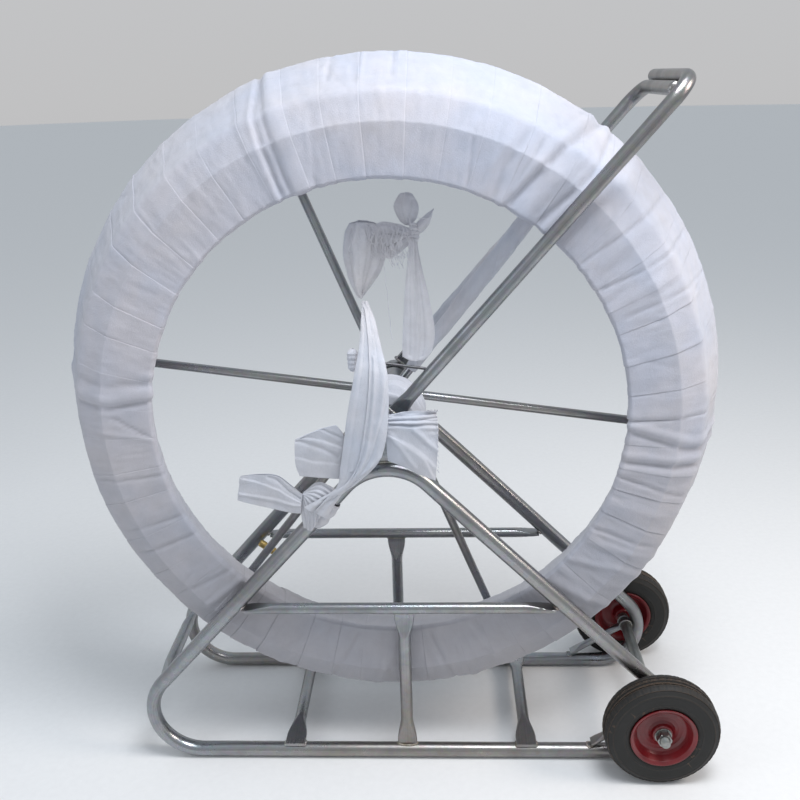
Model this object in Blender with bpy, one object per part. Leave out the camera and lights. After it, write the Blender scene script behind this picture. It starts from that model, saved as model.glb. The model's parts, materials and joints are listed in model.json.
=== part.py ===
"""Wheeled reel for a large duct-rod fish tape.

Two closed loops of bent tube stand on their bottom runs and carry the reel shaft
between them.  The reel is one spider of six spokes with a rod-built basket at its
rim; the coiled rod and its basket are bound in cloth.  Two bent handle tubes rise
from the bearings, and two wheels sit outside the loops at the handle end.

X points to the wheel end, Y runs along the shaft, Z is up.  Metres throughout.
"""
import math

import bmesh
import bpy
from mathutils import Vector

GAP = 0.0003            # clearance left between pieces that touch

# --- side loops -------------------------------------------------------------
FRAME_Y = 0.180         # loop plane, either side of the middle
TUBE_R = 0.017
TUBE_SIDES = 12
RUN_Z = TUBE_R * math.cos(math.pi / TUBE_SIDES)     # bottom run lies on its facet
LEFT_FOOT_X = -0.7086   # where the strut lines meet the bottom run
RIGHT_FOOT_X = 0.7718
APEX = (-0.0085, 0.789)
NOSE_R = 0.110
HEEL_R = 0.102           # the axle lies inside this bend
APEX_R = 0.120
CORNER_STEPS = 8

# --- members between and inside the loops --------------------------------------
BRACE_Z = 0.3985
BRACE_R = 0.0125
POST_R = 0.0140
POST_FRONT_X = 0.024
POST_BACK_X = -0.008
BASE_BAR_R = 0.0140
BASE_BAR_LEFT_X = -0.241
BASE_BAR_RIGHT_X = 0.302
NOSE_BAR_ANGLE = 144.0  # where round the left corner the nose bar sits, between the loops

# --- wheels -------------------------------------------------------------------
AXLE_X = 0.593
WHEEL_R = 0.127
WHEEL_Y = 0.243
AXLE_R = 0.0135
STUB_R = 0.0100
STAY_FOOT_X = 0.452
STAY_R = 0.0090

# --- reel -------------------------------------------------------------------
HUB_Z = 0.830
SHAFT_R = 0.0125
SHAFT_HALF = 0.216
BARREL_R = 0.034
SPOKE_R = 0.0100
SPOKE_Y = 0.050
SPOKE_END = 0.7085
SPOKE_START_DEG = -8.0
SPOKE_COUNT = 6
HOOP_R = 0.006
RIB_R = 0.005
RING_SIDES = 54
WRAP_WALL = 0.0025

# Binding round the rim: outside corners as (radius, y), from one lip of the slot
# the spokes enter by, round the front and the rim, to the other lip.
WRAP_SECTION = [
    (0.5844, 0.037),
    (0.5290, -0.059),
    (0.5000, -0.148),
    (0.5060, -0.154),
    (0.6080, -0.156),
    (0.6640, -0.130),
    (0.6920, -0.062),
    (0.7210, 0.000),
    (0.7370, 0.045),
    (0.7310, 0.068),
    (0.6060, 0.068),
]

# --- handle -------------------------------------------------------------------
HANDLE_R = 0.0140
HANDLE_BEND_R = 0.055
HANDLE_FOOT = (0.0170, 0.8602)
HANDLE_TOP = (0.5780, 1.5030)
BAR_PITCH = 0.0285      # the two crossbars lie side by side

# --- bearings -------------------------------------------------------------------
HOUSING_R = 0.033
HOUSING_HALF = 0.015
RACE_R = 0.026
PLATE_T = 0.008


def clear_scene():
    for item in list(bpy.data.objects):
        bpy.data.objects.remove(item, do_unlink=True)


def make_material(name, colour, metallic, roughness):
    material = bpy.data.materials.new(name)
    material.use_nodes = True
    shader = material.node_tree.nodes["Principled BSDF"]
    shader.inputs["Base Color"].default_value = (*colour, 1.0)
    shader.inputs["Metallic"].default_value = metallic
    shader.inputs["Roughness"].default_value = roughness
    material.diffuse_color = (*colour, 1.0)
    return material


PALETTE = {
    "galvanised": ((0.42, 0.44, 0.46), 0.9, 0.42),
    "steel": ((0.50, 0.51, 0.52), 1.0, 0.32),
    "dark_steel": ((0.16, 0.16, 0.17), 0.9, 0.45),
    "red_paint": ((0.28, 0.01, 0.02), 0.1, 0.40),
    "tyre_rubber": ((0.02, 0.02, 0.02), 0.0, 0.75),
    "brass": ((0.62, 0.45, 0.16), 1.0, 0.30),
    "binding_cloth": ((0.68, 0.69, 0.76), 0.0, 0.90),
    "rod_jacket": ((0.75, 0.42, 0.06), 0.0, 0.50),
}


def add_part(name, mesh_data, material, origin=(0.0, 0.0, 0.0), smooth=True):
    """Make one object from (vertices, faces) in world metres, turned outward."""
    vertices, faces = mesh_data
    centre = Vector(origin)
    mesh = bpy.data.meshes.new(name)
    mesh.from_pydata([Vector(v) - centre for v in vertices], [], faces)
    work = bmesh.new()
    work.from_mesh(mesh)
    bmesh.ops.recalc_face_normals(work, faces=work.faces)
    work.to_mesh(mesh)
    work.free()
    mesh.materials.append(MATERIALS[material])
    part = bpy.data.objects.new(name, mesh)
    part.location = centre
    bpy.context.collection.objects.link(part)
    if smooth:
        mesh.shade_smooth()
        mesh.set_sharp_from_angle(angle=math.radians(38.0))
    return part


def skin(rings, closed=False):
    """Join equal rings of points into a closed solid."""
    count = len(rings[0])
    vertices = [point for ring in rings for point in ring]
    faces = []
    spans = len(rings) if closed else len(rings) - 1
    for i in range(spans):
        low = i * count
        high = ((i + 1) % len(rings)) * count
        for k in range(count):
            n = (k + 1) % count
            faces.append([low + k, low + n, high + n, high + k])
    if not closed:
        faces.append(list(range(count)))
        faces.append(list(range(len(vertices) - count, len(vertices))))
    return vertices, faces


def section_ring(centre, side, up, half_side, half_up, sides):
    """Points of a regular (or squashed) polygon with facets facing side and up."""
    points = []
    for k in range(sides):
        angle = 2.0 * math.pi * (k + 0.5) / sides
        points.append(centre + side * (half_side * math.cos(angle)) + up * (half_up * math.sin(angle)))
    return points


def planar_sweep(path, normal, radius, sides, closed=False, shape=None):
    """Tube along a path that lies in one plane; shape gives (in-plane, normal) halves."""
    normal = Vector(normal).normalized()
    path = [Vector(p) for p in path]
    count = len(path)
    rings = []
    for i, point in enumerate(path):
        before = path[(i - 1) % count] if closed or i > 0 else None
        after = path[(i + 1) % count] if closed or i < count - 1 else None
        incoming = (point - before).normalized() if before is not None else None
        outgoing = (after - point).normalized() if after is not None else None
        if incoming is None:
            tangent = outgoing
        elif outgoing is None:
            tangent = incoming
        else:
            tangent = (incoming + outgoing).normalized()
        mitre = 1.0
        if incoming is not None and outgoing is not None:
            mitre = 1.0 / max(0.2, tangent.dot(outgoing))
        side = tangent.cross(normal).normalized()
        half_side, half_up = shape[i] if shape else (radius, radius)
        rings.append(section_ring(point, side, normal, half_side * mitre, half_up, sides))
    return skin(rings, closed)


def arc_points(centre, radius, start_deg, end_deg, steps):
    points = []
    for k in range(steps + 1):
        angle = math.radians(start_deg + (end_deg - start_deg) * k / steps)
        points.append((centre[0] + radius * math.cos(angle), centre[1] + radius * math.sin(angle)))
    return points


def round_corner(before, corner, after, radius, steps):
    """Arc that replaces a corner of a 2-D polyline; returns its points and centre."""
    corner = Vector(corner)
    to_before = (Vector(before) - corner).normalized()
    to_after = (Vector(after) - corner).normalized()
    half = math.acos(max(-1.0, min(1.0, to_before.dot(to_after)))) / 2.0
    middle = (to_before + to_after).normalized()
    centre = corner + middle * (radius / math.sin(half))
    start = corner + to_before * (radius / math.tan(half)) - centre
    end = corner + to_after * (radius / math.tan(half)) - centre
    start_deg = math.degrees(math.atan2(start.y, start.x))
    end_deg = math.degrees(math.atan2(end.y, end.x))
    turn = (end_deg - start_deg + 180.0) % 360.0 - 180.0
    return arc_points(centre, radius, start_deg, start_deg + turn, steps), (centre.x, centre.y)


def revolve(profile, centre_x, centre_z, sides, phase=0.0):
    """Turn a closed (radius, y) profile about a shaft along Y into a ring solid."""
    rings = []
    for k in range(sides):
        angle = 2.0 * math.pi * (k + phase) / sides
        cos_a = math.cos(angle)
        sin_a = math.sin(angle)
        rings.append([Vector((centre_x + r * cos_a, y, centre_z + r * sin_a)) for r, y in profile])
    return skin(rings, closed=True)


def turned_shaft(steps, centre_x, centre_z, sides):
    """Solid turned shaft along Y from a list of (y, radius) stations."""
    rings = []
    for y, radius in steps:
        ring = []
        for k in range(sides):
            angle = 2.0 * math.pi * k / sides
            ring.append(Vector((centre_x + radius * math.cos(angle), y, centre_z + radius * math.sin(angle))))
        rings.append(ring)
    return skin(rings)


def collar_profile(inner, outer, y0, y1):
    return [(inner, y0), (outer, y0), (outer, y1), (inner, y1)]


def prism_y(outline, y0, y1):
    """Flat plate: an (x, z) outline given thickness along Y."""
    low = [Vector((x, y0, z)) for x, z in outline]
    high = [Vector((x, y1, z)) for x, z in outline]
    return skin([low, high])


def flat_ended_bar(start, end, radius, wide, starts, ends, sides=12):
    """Straight tube pressed flat at both ends.

    wide is the direction the flats spread in; starts and ends are
    (half width, half thickness, length of the flat, length of the flare).
    """
    start = Vector(start)
    end = Vector(end)
    axis = (end - start).normalized()
    length = (end - start).length
    wide = Vector(wide).normalized()
    thin = axis.cross(wide).normalized()
    stations = [
        (0.0, starts[0], starts[1]),
        (starts[2], starts[0] * 0.98, starts[1]),
        (starts[2] + 0.5 * starts[3], 0.5 * (starts[0] + radius), 0.55 * (starts[1] + radius)),
        (starts[2] + starts[3], radius, radius),
        (length - ends[2] - ends[3], radius, radius),
        (length - ends[2] - 0.5 * ends[3], 0.5 * (ends[0] + radius), 0.55 * (ends[1] + radius)),
        (length - ends[2], ends[0] * 0.98, ends[1]),
        (length, ends[0], ends[1]),
    ]
    rings = [section_ring(start + axis * s, wide, thin, w, t, sides) for s, w, t in stations]
    return skin(rings)


def strut_x(z, left):
    """X of a strut centreline at height z."""
    foot = LEFT_FOOT_X if left else RIGHT_FOOT_X
    share = (z - RUN_Z) / (APEX[1] - RUN_Z)
    return foot + (APEX[0] - foot) * share


# --- build -----------------------------------------------------------------------
clear_scene()
MATERIALS = {name: make_material(name, *values) for name, values in PALETTE.items()}
TOP_OF_RUN = RUN_Z + TUBE_R * math.cos(math.pi / TUBE_SIDES)

left_foot = (LEFT_FOOT_X, RUN_Z)
right_foot = (RIGHT_FOOT_X, RUN_Z)
left_arc, left_centre = round_corner(APEX, left_foot, right_foot, NOSE_R, CORNER_STEPS)
right_arc, right_centre = round_corner(left_foot, right_foot, APEX, HEEL_R, CORNER_STEPS)
apex_arc, apex_centre = round_corner(right_foot, APEX, left_foot, APEX_R, CORNER_STEPS)
loop_outline = left_arc + right_arc + apex_arc

for side_name, sign in (("front", -1.0), ("back", 1.0)):
    plane_y = sign * FRAME_Y
    loop_path = [(x, plane_y, z) for x, z in loop_outline]
    add_part(
        "frame_loop_" + side_name,
        planar_sweep(loop_path, (0, 1, 0), TUBE_R, TUBE_SIDES, closed=True),
        "galvanised",
    )

    # Level brace: its pressed ends run to thin edges against the struts.
    reach = TUBE_R / math.cos(math.radians(43.0)) + 0.0045
    brace_left = strut_x(BRACE_Z, True) + reach
    brace_right = strut_x(BRACE_Z, False) - reach
    add_part(
        "brace_" + side_name,
        flat_ended_bar(
            (brace_left, plane_y, BRACE_Z),
            (brace_right, plane_y, BRACE_Z),
            BRACE_R,
            (0, 1, 0),
            (0.016, 0.0028, 0.004, 0.060),
            (0.016, 0.0028, 0.004, 0.060),
        ),
        "galvanised",
    )

    # Upright post from the bottom run to the brace.
    post_x = POST_FRONT_X if sign < 0 else POST_BACK_X
    brace_under = BRACE_Z - BRACE_R * math.cos(math.pi / 12)
    add_part(
        "post_" + side_name,
        flat_ended_bar(
            (post_x, plane_y, TOP_OF_RUN + GAP),
            (post_x, plane_y, brace_under - GAP),
            POST_R,
            (1, 0, 0),
            (0.022, 0.0035, 0.014, 0.050),
            (0.022, 0.0035, 0.010, 0.045),
        ),
        "galvanised",
    )

    # Short stay from the bottom run up to the axle.
    foot = Vector((STAY_FOOT_X, plane_y, TOP_OF_RUN + GAP + 0.006))
    axle = Vector((AXLE_X, plane_y, WHEEL_R))
    lean = (axle - foot).normalized()
    add_part(
        "axle_stay_" + side_name,
        flat_ended_bar(
            foot,
            axle - lean * (AXLE_R + 0.001),
            STAY_R,
            (0, 1, 0),
            (0.013, 0.0030, 0.006, 0.030),
            (0.011, 0.0060, 0.004, 0.020),
            sides=10,
        ),
        "galvanised",
    )

    # Bearing plate standing on the apex bend, cut round the housing.
    foot_r = APEX_R + TUBE_R + 0.0005
    lower = arc_points(apex_centre, foot_r, 70.0, 110.0, 6)
    upper = arc_points((0.0, HUB_Z), HOUSING_R + GAP, 210.0, 330.0, 8)
    add_part(
        "bearing_plate_" + side_name,
        prism_y(lower + upper, plane_y - PLATE_T / 2, plane_y + PLATE_T / 2),
        "galvanised",
        smooth=False,
    )
    add_part(
        "bearing_housing_" + side_name,
        revolve(
            collar_profile(RACE_R, HOUSING_R, plane_y - HOUSING_HALF, plane_y + HOUSING_HALF),
            0.0, HUB_Z, 24,
        ),
        "galvanised",
    )
    add_part(
        "bearing_" + side_name,
        revolve(
            collar_profile(SHAFT_R + GAP, RACE_R - GAP, plane_y - 0.0075, plane_y + 0.0075),
            0.0, HUB_Z, 24,
        ),
        "steel",
    )
    collar_in = sign * (FRAME_Y + HOUSING_HALF + 0.001)
    collar_out = sign * (FRAME_Y + HOUSING_HALF + 0.014)
    add_part(
        "shaft_collar_" + side_name,
        revolve(
            collar_profile(SHAFT_R + GAP, 0.0215, min(collar_in, collar_out), max(collar_in, collar_out)),
            0.0, HUB_Z, 24,
        ),
        "steel",
        origin=(0.0, 0.0, HUB_Z),
    )

    # Handle tube: up the slope, then bent across; the back bar nests inside the front one.
    foot2 = Vector((HANDLE_FOOT[0], 0.0, HANDLE_FOOT[1]))
    top2 = Vector((HANDLE_TOP[0], 0.0, HANDLE_TOP[1]))
    slope = (top2 - foot2).normalized()
    if sign > 0:
        top2 = top2 - slope * BAR_PITCH
    bend_start = top2 - slope * HANDLE_BEND_R
    along = Vector((0.0, -sign, 0.0))
    outward = Vector((0.0, plane_y, 0.0))
    handle_path = [foot2 + outward]
    handle_shape = [(0.0175, 0.0050)]
    for reach, halves in ((0.020, (0.0170, 0.0055)), (0.045, (HANDLE_R, HANDLE_R))):
        handle_path.append(foot2 + outward + slope * reach)
        handle_shape.append(halves)
    bend_centre = bend_start + outward + along * HANDLE_BEND_R
    for k in range(8):
        angle = math.radians(90.0 * k / 7)
        handle_path.append(
            bend_centre - along * (HANDLE_BEND_R * math.cos(angle)) + slope * (HANDLE_BEND_R * math.sin(angle))
        )
        handle_shape.append((HANDLE_R, HANDLE_R))
    bar_end = 0.160 if sign < 0 else -0.126
    handle_path.append(Vector((top2.x, bar_end, top2.z)))
    handle_shape.append((HANDLE_R, HANDLE_R))
    flat_normal = slope.cross(Vector((0, 1, 0)))
    swapped = [(up, across) for across, up in handle_shape]
    add_part(
        "handle_" + side_name,
        planar_sweep(handle_path, flat_normal, HANDLE_R, 12, shape=swapped),
        "galvanised",
    )

# Cross tubes of the base, pressed flat where they lie on the bottom runs.
bar_flat = 0.0035
for bar_name, bar_x in (("left", BASE_BAR_LEFT_X), ("right", BASE_BAR_RIGHT_X)):
    bar_z = TOP_OF_RUN + GAP + bar_flat
    add_part(
        "base_bar_" + bar_name,
        flat_ended_bar(
            (bar_x, -FRAME_Y - 0.012, bar_z),
            (bar_x, FRAME_Y + 0.012, bar_z),
            BASE_BAR_R,
            (1, 0, 0),
            (0.023, bar_flat, 0.032, 0.055),
            (0.023, bar_flat, 0.032, 0.055),
        ),
        "galvanised",
    )

nose_dir = (math.cos(math.radians(NOSE_BAR_ANGLE)), math.sin(math.radians(NOSE_BAR_ANGLE)))
nose = (left_centre[0] + nose_dir[0] * NOSE_R, left_centre[1] + nose_dir[1] * NOSE_R)
nose_half = FRAME_Y - TUBE_R - 0.0006
add_part(
    "nose_bar",
    flat_ended_bar(
        (nose[0], -nose_half, nose[1]),
        (nose[0], nose_half, nose[1]),
        BASE_BAR_R,
        (-nose_dir[1], 0, nose_dir[0]),
        (0.020, bar_flat, 0.028, 0.050),
        (0.020, bar_flat, 0.028, 0.050),
    ),
    "galvanised",
)

# Axle: a thick bar through the inside of the wheel-end bends, with turned-down stubs.
shoulder = WHEEL_Y - 0.0305
add_part(
    "axle",
    turned_shaft(
        [(-0.298, STUB_R), (-shoulder, STUB_R), (-shoulder, AXLE_R), (shoulder, AXLE_R), (shoulder, STUB_R),
         (0.298, STUB_R)],
        AXLE_X, WHEEL_R, 24,
    ),
    "galvanised",
)

TYRE_SECTION = [
    (0.0730, -0.0270), (0.0790, -0.0320), (0.1040, -0.0345), (0.1180, -0.0300), (0.1270, -0.0170),
    (0.1270, 0.0170), (0.1180, 0.0300), (0.1040, 0.0345), (0.0790, 0.0320), (0.0730, 0.0270),
]
RIM_SECTION = [
    (STUB_R + GAP, -0.030), (0.0200, -0.030), (0.0215, -0.004), (0.0500, -0.002), (0.0600, -0.006),
    (0.0645, -0.030), (0.0726, -0.0335), (0.0726, 0.0335), (0.0660, 0.0320), (0.0600, 0.0140),
    (0.0500, 0.0060), (0.0270, 0.0100), (0.0220, 0.0220), (STUB_R + GAP, 0.0220),
]
for side_name, sign in (("front", -1.0), ("back", 1.0)):
    wheel_origin = (AXLE_X, sign * WHEEL_Y, WHEEL_R)
    tyre = [(r, sign * (WHEEL_Y + y)) for r, y in TYRE_SECTION]
    rim = [(r, sign * (WHEEL_Y + y)) for r, y in RIM_SECTION]
    add_part("tyre_" + side_name, revolve(tyre, AXLE_X, WHEEL_R, 32, 0.0), "tyre_rubber", wheel_origin)
    add_part("rim_" + side_name, revolve(rim, AXLE_X, WHEEL_R, 32, 0.0), "red_paint", wheel_origin)
    washer = [sign * (WHEEL_Y + 0.0223), sign * (WHEEL_Y + 0.0253)]
    add_part(
        "wheel_washer_" + side_name,
        revolve(collar_profile(STUB_R + GAP, 0.0190, min(washer), max(washer)), AXLE_X, WHEEL_R, 24),
        "steel",
    )
    nut = [sign * (WHEEL_Y + 0.0256), sign * (WHEEL_Y + 0.0416)]
    nut_outer = []
    for y in (min(nut), max(nut)):
        for k in range(24):
            angle = 2.0 * math.pi * k / 24
            facet = math.cos(math.radians(30.0)) / math.cos((angle % math.radians(60.0)) - math.radians(30.0))
            radius = 0.0170 * facet
            nut_outer.append(
                Vector((AXLE_X + radius * math.cos(angle), y, WHEEL_R + radius * math.sin(angle)))
            )
    nut_inner = []
    for y in (min(nut), max(nut)):
        for k in range(24):
            angle = 2.0 * math.pi * k / 24
            radius = STUB_R + GAP
            nut_inner.append(
                Vector((AXLE_X + radius * math.cos(angle), y, WHEEL_R + radius * math.sin(angle)))
            )
    rings = []
    for k in range(24):
        rings.append([nut_inner[k], nut_outer[k], nut_outer[24 + k], nut_inner[24 + k]])
    add_part("wheel_nut_" + side_name, skin(rings, closed=True), "steel", smooth=False)

# --- reel ---------------------------------------------------------------------------
REEL_ORIGIN = (0.0, 0.0, HUB_Z)
add_part(
    "reel_shaft",
    turned_shaft([(-SHAFT_HALF, SHAFT_R), (SHAFT_HALF, SHAFT_R)], 0.0, HUB_Z, 24),
    "steel",
    REEL_ORIGIN,
)
add_part(
    "hub_barrel",
    revolve(collar_profile(SHAFT_R + GAP, BARREL_R, -0.145, 0.130), 0.0, HUB_Z, 24),
    "galvanised",
    REEL_ORIGIN,
)


def polar(radius, y, angle):
    return Vector((radius * math.cos(angle), y, HUB_Z + radius * math.sin(angle)))


def hoop_profile(hoop_radius, hoop_y):
    section = []
    for k in range(6):
        angle = 2.0 * math.pi * (k + 0.5) / 6
        section.append((hoop_radius + HOOP_R * math.cos(angle), hoop_y + HOOP_R * math.sin(angle)))
    return section


def weld(target, tool):
    """Boolean union of tool into target; the tool object goes."""
    union = target.modifiers.new("weld", "BOOLEAN")
    union.operation = "UNION"
    union.solver = "EXACT"
    union.object = tool
    bpy.context.view_layer.update()
    evaluated = target.evaluated_get(bpy.context.evaluated_depsgraph_get())
    mesh = bpy.data.meshes.new_from_object(evaluated)
    target.modifiers.remove(union)
    target.data = mesh
    bpy.data.objects.remove(tool, do_unlink=True)


for k in range(SPOKE_COUNT):
    angle = math.radians(SPOKE_START_DEG + 60.0 * k)
    across = (-math.sin(angle), 0.0, math.cos(angle))
    spoke_path = [polar(BARREL_R + GAP, SPOKE_Y, angle), polar(SPOKE_END, SPOKE_Y, angle)]
    add_part("spoke_%d" % (k + 1), planar_sweep(spoke_path, across, SPOKE_R, 12), "galvanised", REEL_ORIGIN)

for hoop_name, hoop_radius, hoop_y in (
    ("hoop_front_outer", 0.6060, -0.1455),
    ("hoop_rim", 0.7160, 0.0500),
):
    add_part(
        hoop_name,
        revolve(hoop_profile(hoop_radius, hoop_y), 0.0, HUB_Z, RING_SIDES),
        "galvanised",
        REEL_ORIGIN,
    )

# Basket: six bent ribs, each from its spoke round the coil and back, welded to the inner hoop.
RIB_PATH = [
    (0.7010, 0.0385), (0.6850, -0.0450), (0.6540, -0.1150), (0.6070, -0.1325), (0.5200, -0.1350),
    (0.5430, -0.0600), (0.5935, 0.0365),
]
basket = add_part(
    "basket_ribs",
    revolve(hoop_profile(0.5130, -0.1420), 0.0, HUB_Z, RING_SIDES),
    "galvanised",
    REEL_ORIGIN,
)
for k in range(SPOKE_COUNT):
    angle = math.radians(SPOKE_START_DEG + 60.0 * k)
    across = (-math.sin(angle), 0.0, math.cos(angle))
    rib_path = [polar(r, y, angle) for r, y in RIB_PATH]
    rib = add_part("rib", planar_sweep(rib_path, across, RIB_R, 6), "galvanised", REEL_ORIGIN)
    weld(basket, rib)

COIL_SECTION = [
    (0.5390, -0.1180), (0.6020, -0.1220), (0.6450, -0.1070), (0.6740, -0.0450), (0.6900, 0.0320),
    (0.6040, 0.0320), (0.5560, -0.0600),
]
add_part("rod_coil", revolve(COIL_SECTION, 0.0, HUB_Z, RING_SIDES), "rod_jacket", REEL_ORIGIN)


def inset_open(points, wall):
    """Copy of an open 2-D polyline moved inward by the wall."""
    moved = []
    for i, point in enumerate(points):
        here = Vector(point)
        before = (here - Vector(points[i - 1])).normalized() if i > 0 else None
        after = (Vector(points[i + 1]) - here).normalized() if i < len(points) - 1 else None
        before = before if before is not None else after
        after = after if after is not None else before
        normal_a = Vector((-before.y, before.x))
        normal_b = Vector((-after.y, after.x))
        middle = (normal_a + normal_b).normalized()
        moved.append(here + middle * (wall / max(0.3, middle.dot(normal_a))))
    return [(p.x, p.y) for p in moved]


inner_section = inset_open(WRAP_SECTION, WRAP_WALL)
wrap_profile = WRAP_SECTION + inner_section[::-1]
add_part("ring_binding", revolve(wrap_profile, 0.0, HUB_Z, RING_SIDES), "binding_cloth", REEL_ORIGIN)

# Cloth bound round the front of the hub barrel.
HUB_CLOTH = [
    (BARREL_R + GAP, -0.142), (0.060, -0.140), (0.078, -0.115), (0.082, -0.070), (0.070, -0.030),
    (BARREL_R + GAP, -0.020),
]
add_part("hub_cloth", revolve(HUB_CLOTH, 0.0, HUB_Z, 24), "binding_cloth", REEL_ORIGIN)


def cloth_slab(stations, thick):
    """Thin strip from stations of (left point, right point), thickened along Y."""
    rings = []
    for left, right in stations:
        left = Vector(left)
        right = Vector(right)
        half = Vector((0.0, thick / 2, 0.0))
        middle = (left + right) / 2
        rings.append([left - half, middle - half * 1.6, right - half, right + half, middle + half * 1.6,
                      left + half])
    return skin(rings)


# Bunch of cloth knotted on the spoke above the hub, with a loose tail.
add_part(
    "tie_bunch",
    cloth_slab(
        [
            ((-0.098, 0.010, 1.035), (-0.050, 0.010, 1.035)),
            ((-0.092, 0.008, 1.075), (0.030, 0.008, 1.070)),
            ((-0.096, 0.006, 1.150), (0.052, 0.006, 1.150)),
            ((-0.090, 0.008, 1.205), (0.050, 0.008, 1.200)),
            ((-0.070, 0.010, 1.228), (0.030, 0.010, 1.225)),
        ],
        0.034,
    ),
    "binding_cloth",
    REEL_ORIGIN,
)
add_part(
    "bunch_tail",
    cloth_slab(
        [
            ((0.026, -0.034, 0.921), (0.100, -0.034, 0.926)),
            ((0.032, -0.034, 1.000), (0.078, -0.034, 1.005)),
            ((0.040, -0.034, 1.100), (0.056, -0.034, 1.100)),
            ((0.040, -0.034, 1.180), (0.050, -0.034, 1.180)),
        ],
        0.008,
    ),
    "binding_cloth",
    REEL_ORIGIN,
)

# --- cloth tied to the stand ------------------------------------------------------------
add_part(
    "drape_cloth",
    cloth_slab(
        [
            ((0.004, -0.226, 0.760), (0.104, -0.226, 0.727)),
            ((0.000, -0.226, 0.800), (0.102, -0.226, 0.790)),
            ((0.000, -0.226, 0.835), (0.104, -0.226, 0.840)),
            ((-0.004, -0.226, 0.862), (0.104, -0.226, 0.872)),
        ],
        0.010,
    ),
    "binding_cloth",
)
add_part(
    "tie_strip",
    cloth_slab(
        [
            ((-0.178, -0.232, 0.672), (-0.112, -0.232, 0.640)),
            ((-0.100, -0.242, 0.786), (-0.046, -0.242, 0.729)),
            ((-0.080, -0.245, 0.850), (0.000, -0.245, 0.815)),
            ((-0.070, -0.236, 0.910), (0.008, -0.236, 0.905)),
            ((-0.056, -0.205, 0.985), (0.004, -0.205, 0.980)),
            ((-0.056, -0.150, 1.045), (-0.022, -0.150, 1.045)),
            ((-0.052, -0.090, 1.080), (-0.036, -0.090, 1.080)),
        ],
        0.008,
    ),
    "binding_cloth",
)

# Knot: a lump of cloth gripping the front left strut.
strut_dir = Vector((APEX[0] - LEFT_FOOT_X, 0.0, APEX[1] - RUN_Z)).normalized()
knot_mid = Vector((strut_x(0.640, True), -FRAME_Y, 0.640))
knot_side = strut_dir.cross(Vector((0, 1, 0))).normalized()
knot_rings = []
for k in range(12):
    angle = 2.0 * math.pi * (k + 0.5) / 12
    spoke_dir = knot_side * math.cos(angle) + Vector((0, 1, 0)) * math.sin(angle)
    near = TUBE_R + 0.0008
    far = 0.030 if spoke_dir.y < 0 else 0.0205
    knot_rings.append([
        knot_mid + spoke_dir * near - strut_dir * 0.030,
        knot_mid + spoke_dir * (near + 0.004) - strut_dir * 0.032,
        knot_mid + spoke_dir * far,
        knot_mid + spoke_dir * (near + 0.004) + strut_dir * 0.032,
        knot_mid + spoke_dir * near + strut_dir * 0.030,
    ])
add_part("strut_knot", skin(knot_rings, closed=True), "binding_cloth")
add_part(
    "knot_flap_low",
    cloth_slab(
        [
            ((-0.190, -0.216, 0.690), (-0.186, -0.216, 0.650)),
            ((-0.245, -0.217, 0.738), (-0.240, -0.217, 0.664)),
            ((-0.300, -0.218, 0.736), (-0.300, -0.218, 0.690)),
            ((-0.318, -0.218, 0.728), (-0.316, -0.218, 0.700)),
        ],
        0.007,
    ),
    "binding_cloth",
)
add_part(
    "knot_flap_high",
    cloth_slab(
        [
            ((-0.190, -0.222, 0.790), (-0.182, -0.218, 0.722)),
            ((-0.150, -0.224, 0.812), (-0.148, -0.220, 0.722)),
            ((-0.108, -0.227, 0.846), (-0.116, -0.222, 0.745)),
        ],
        0.007,
    ),
    "binding_cloth",
)



def cloth_sleeve(foot, slope, stations):
    """Hollow sleeve round a sloping tube, from (distance up the tube, radius) stations."""
    side = slope.cross(Vector((0, 1, 0))).normalized()
    rings = []
    for k in range(12):
        angle = 2.0 * math.pi * (k + 0.5) / 12
        outward = side * math.cos(angle) + Vector((0, 1, 0)) * math.sin(angle)
        rings.append([foot + slope * s + outward * r for s, r in stations])
    return skin(rings, closed=True)


# Cloth wrapped round the back handle tube.
handle_slope = Vector((HANDLE_TOP[0] - HANDLE_FOOT[0], 0.0, HANDLE_TOP[1] - HANDLE_FOOT[1])).normalized()
handle_sleeve = cloth_sleeve(
    Vector((HANDLE_FOOT[0], FRAME_Y, HANDLE_FOOT[1])),
    handle_slope,
    ((0.060, HANDLE_R + GAP), (0.060, 0.019), (0.260, 0.018), (0.470, 0.019), (0.470, HANDLE_R + GAP)),
)
add_part("handle_cloth", handle_sleeve, "binding_cloth")

# Cloth wrapped round the second spoke, from the hub out to the bound ring.
spoke_angle = math.radians(SPOKE_START_DEG + 60.0)
spoke_sleeve = cloth_sleeve(
    Vector((0.0, SPOKE_Y, HUB_Z)),
    Vector((math.cos(spoke_angle), 0.0, math.sin(spoke_angle))),
    ((0.070, SPOKE_R + GAP), (0.070, 0.015), (0.160, 0.018), (0.320, 0.0205), (0.495, 0.0205),
     (0.495, SPOKE_R + GAP)),
)
add_part("spoke_cloth", spoke_sleeve, "binding_cloth", REEL_ORIGIN)

# Thin steel rod welded to the front handle tube, with a cloth-bound end.
rod_end = Vector((0.0760, -0.1740, 0.9550))
rod_tip = Vector((-0.0660, -0.1740, 0.9760))
rod_dir = (rod_end - rod_tip).normalized()
add_part(
    "side_rod",
    planar_sweep([rod_tip + rod_dir * 0.0130, rod_end], (0, 1, 0), 0.003, 8),
    "dark_steel",
)
knob_rings = []
for z, radius in ((0.951, 0.0070), (0.954, 0.0110), (0.994, 0.0120), (0.999, 0.0060)):
    ring = []
    for k in range(10):
        angle = 2.0 * math.pi * k / 10
        ring.append(Vector((rod_tip.x + radius * math.cos(angle), rod_tip.y + radius * math.sin(angle), z)))
    knob_rings.append(ring)
add_part("side_rod_knob", skin(knob_rings), "binding_cloth")

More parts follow.
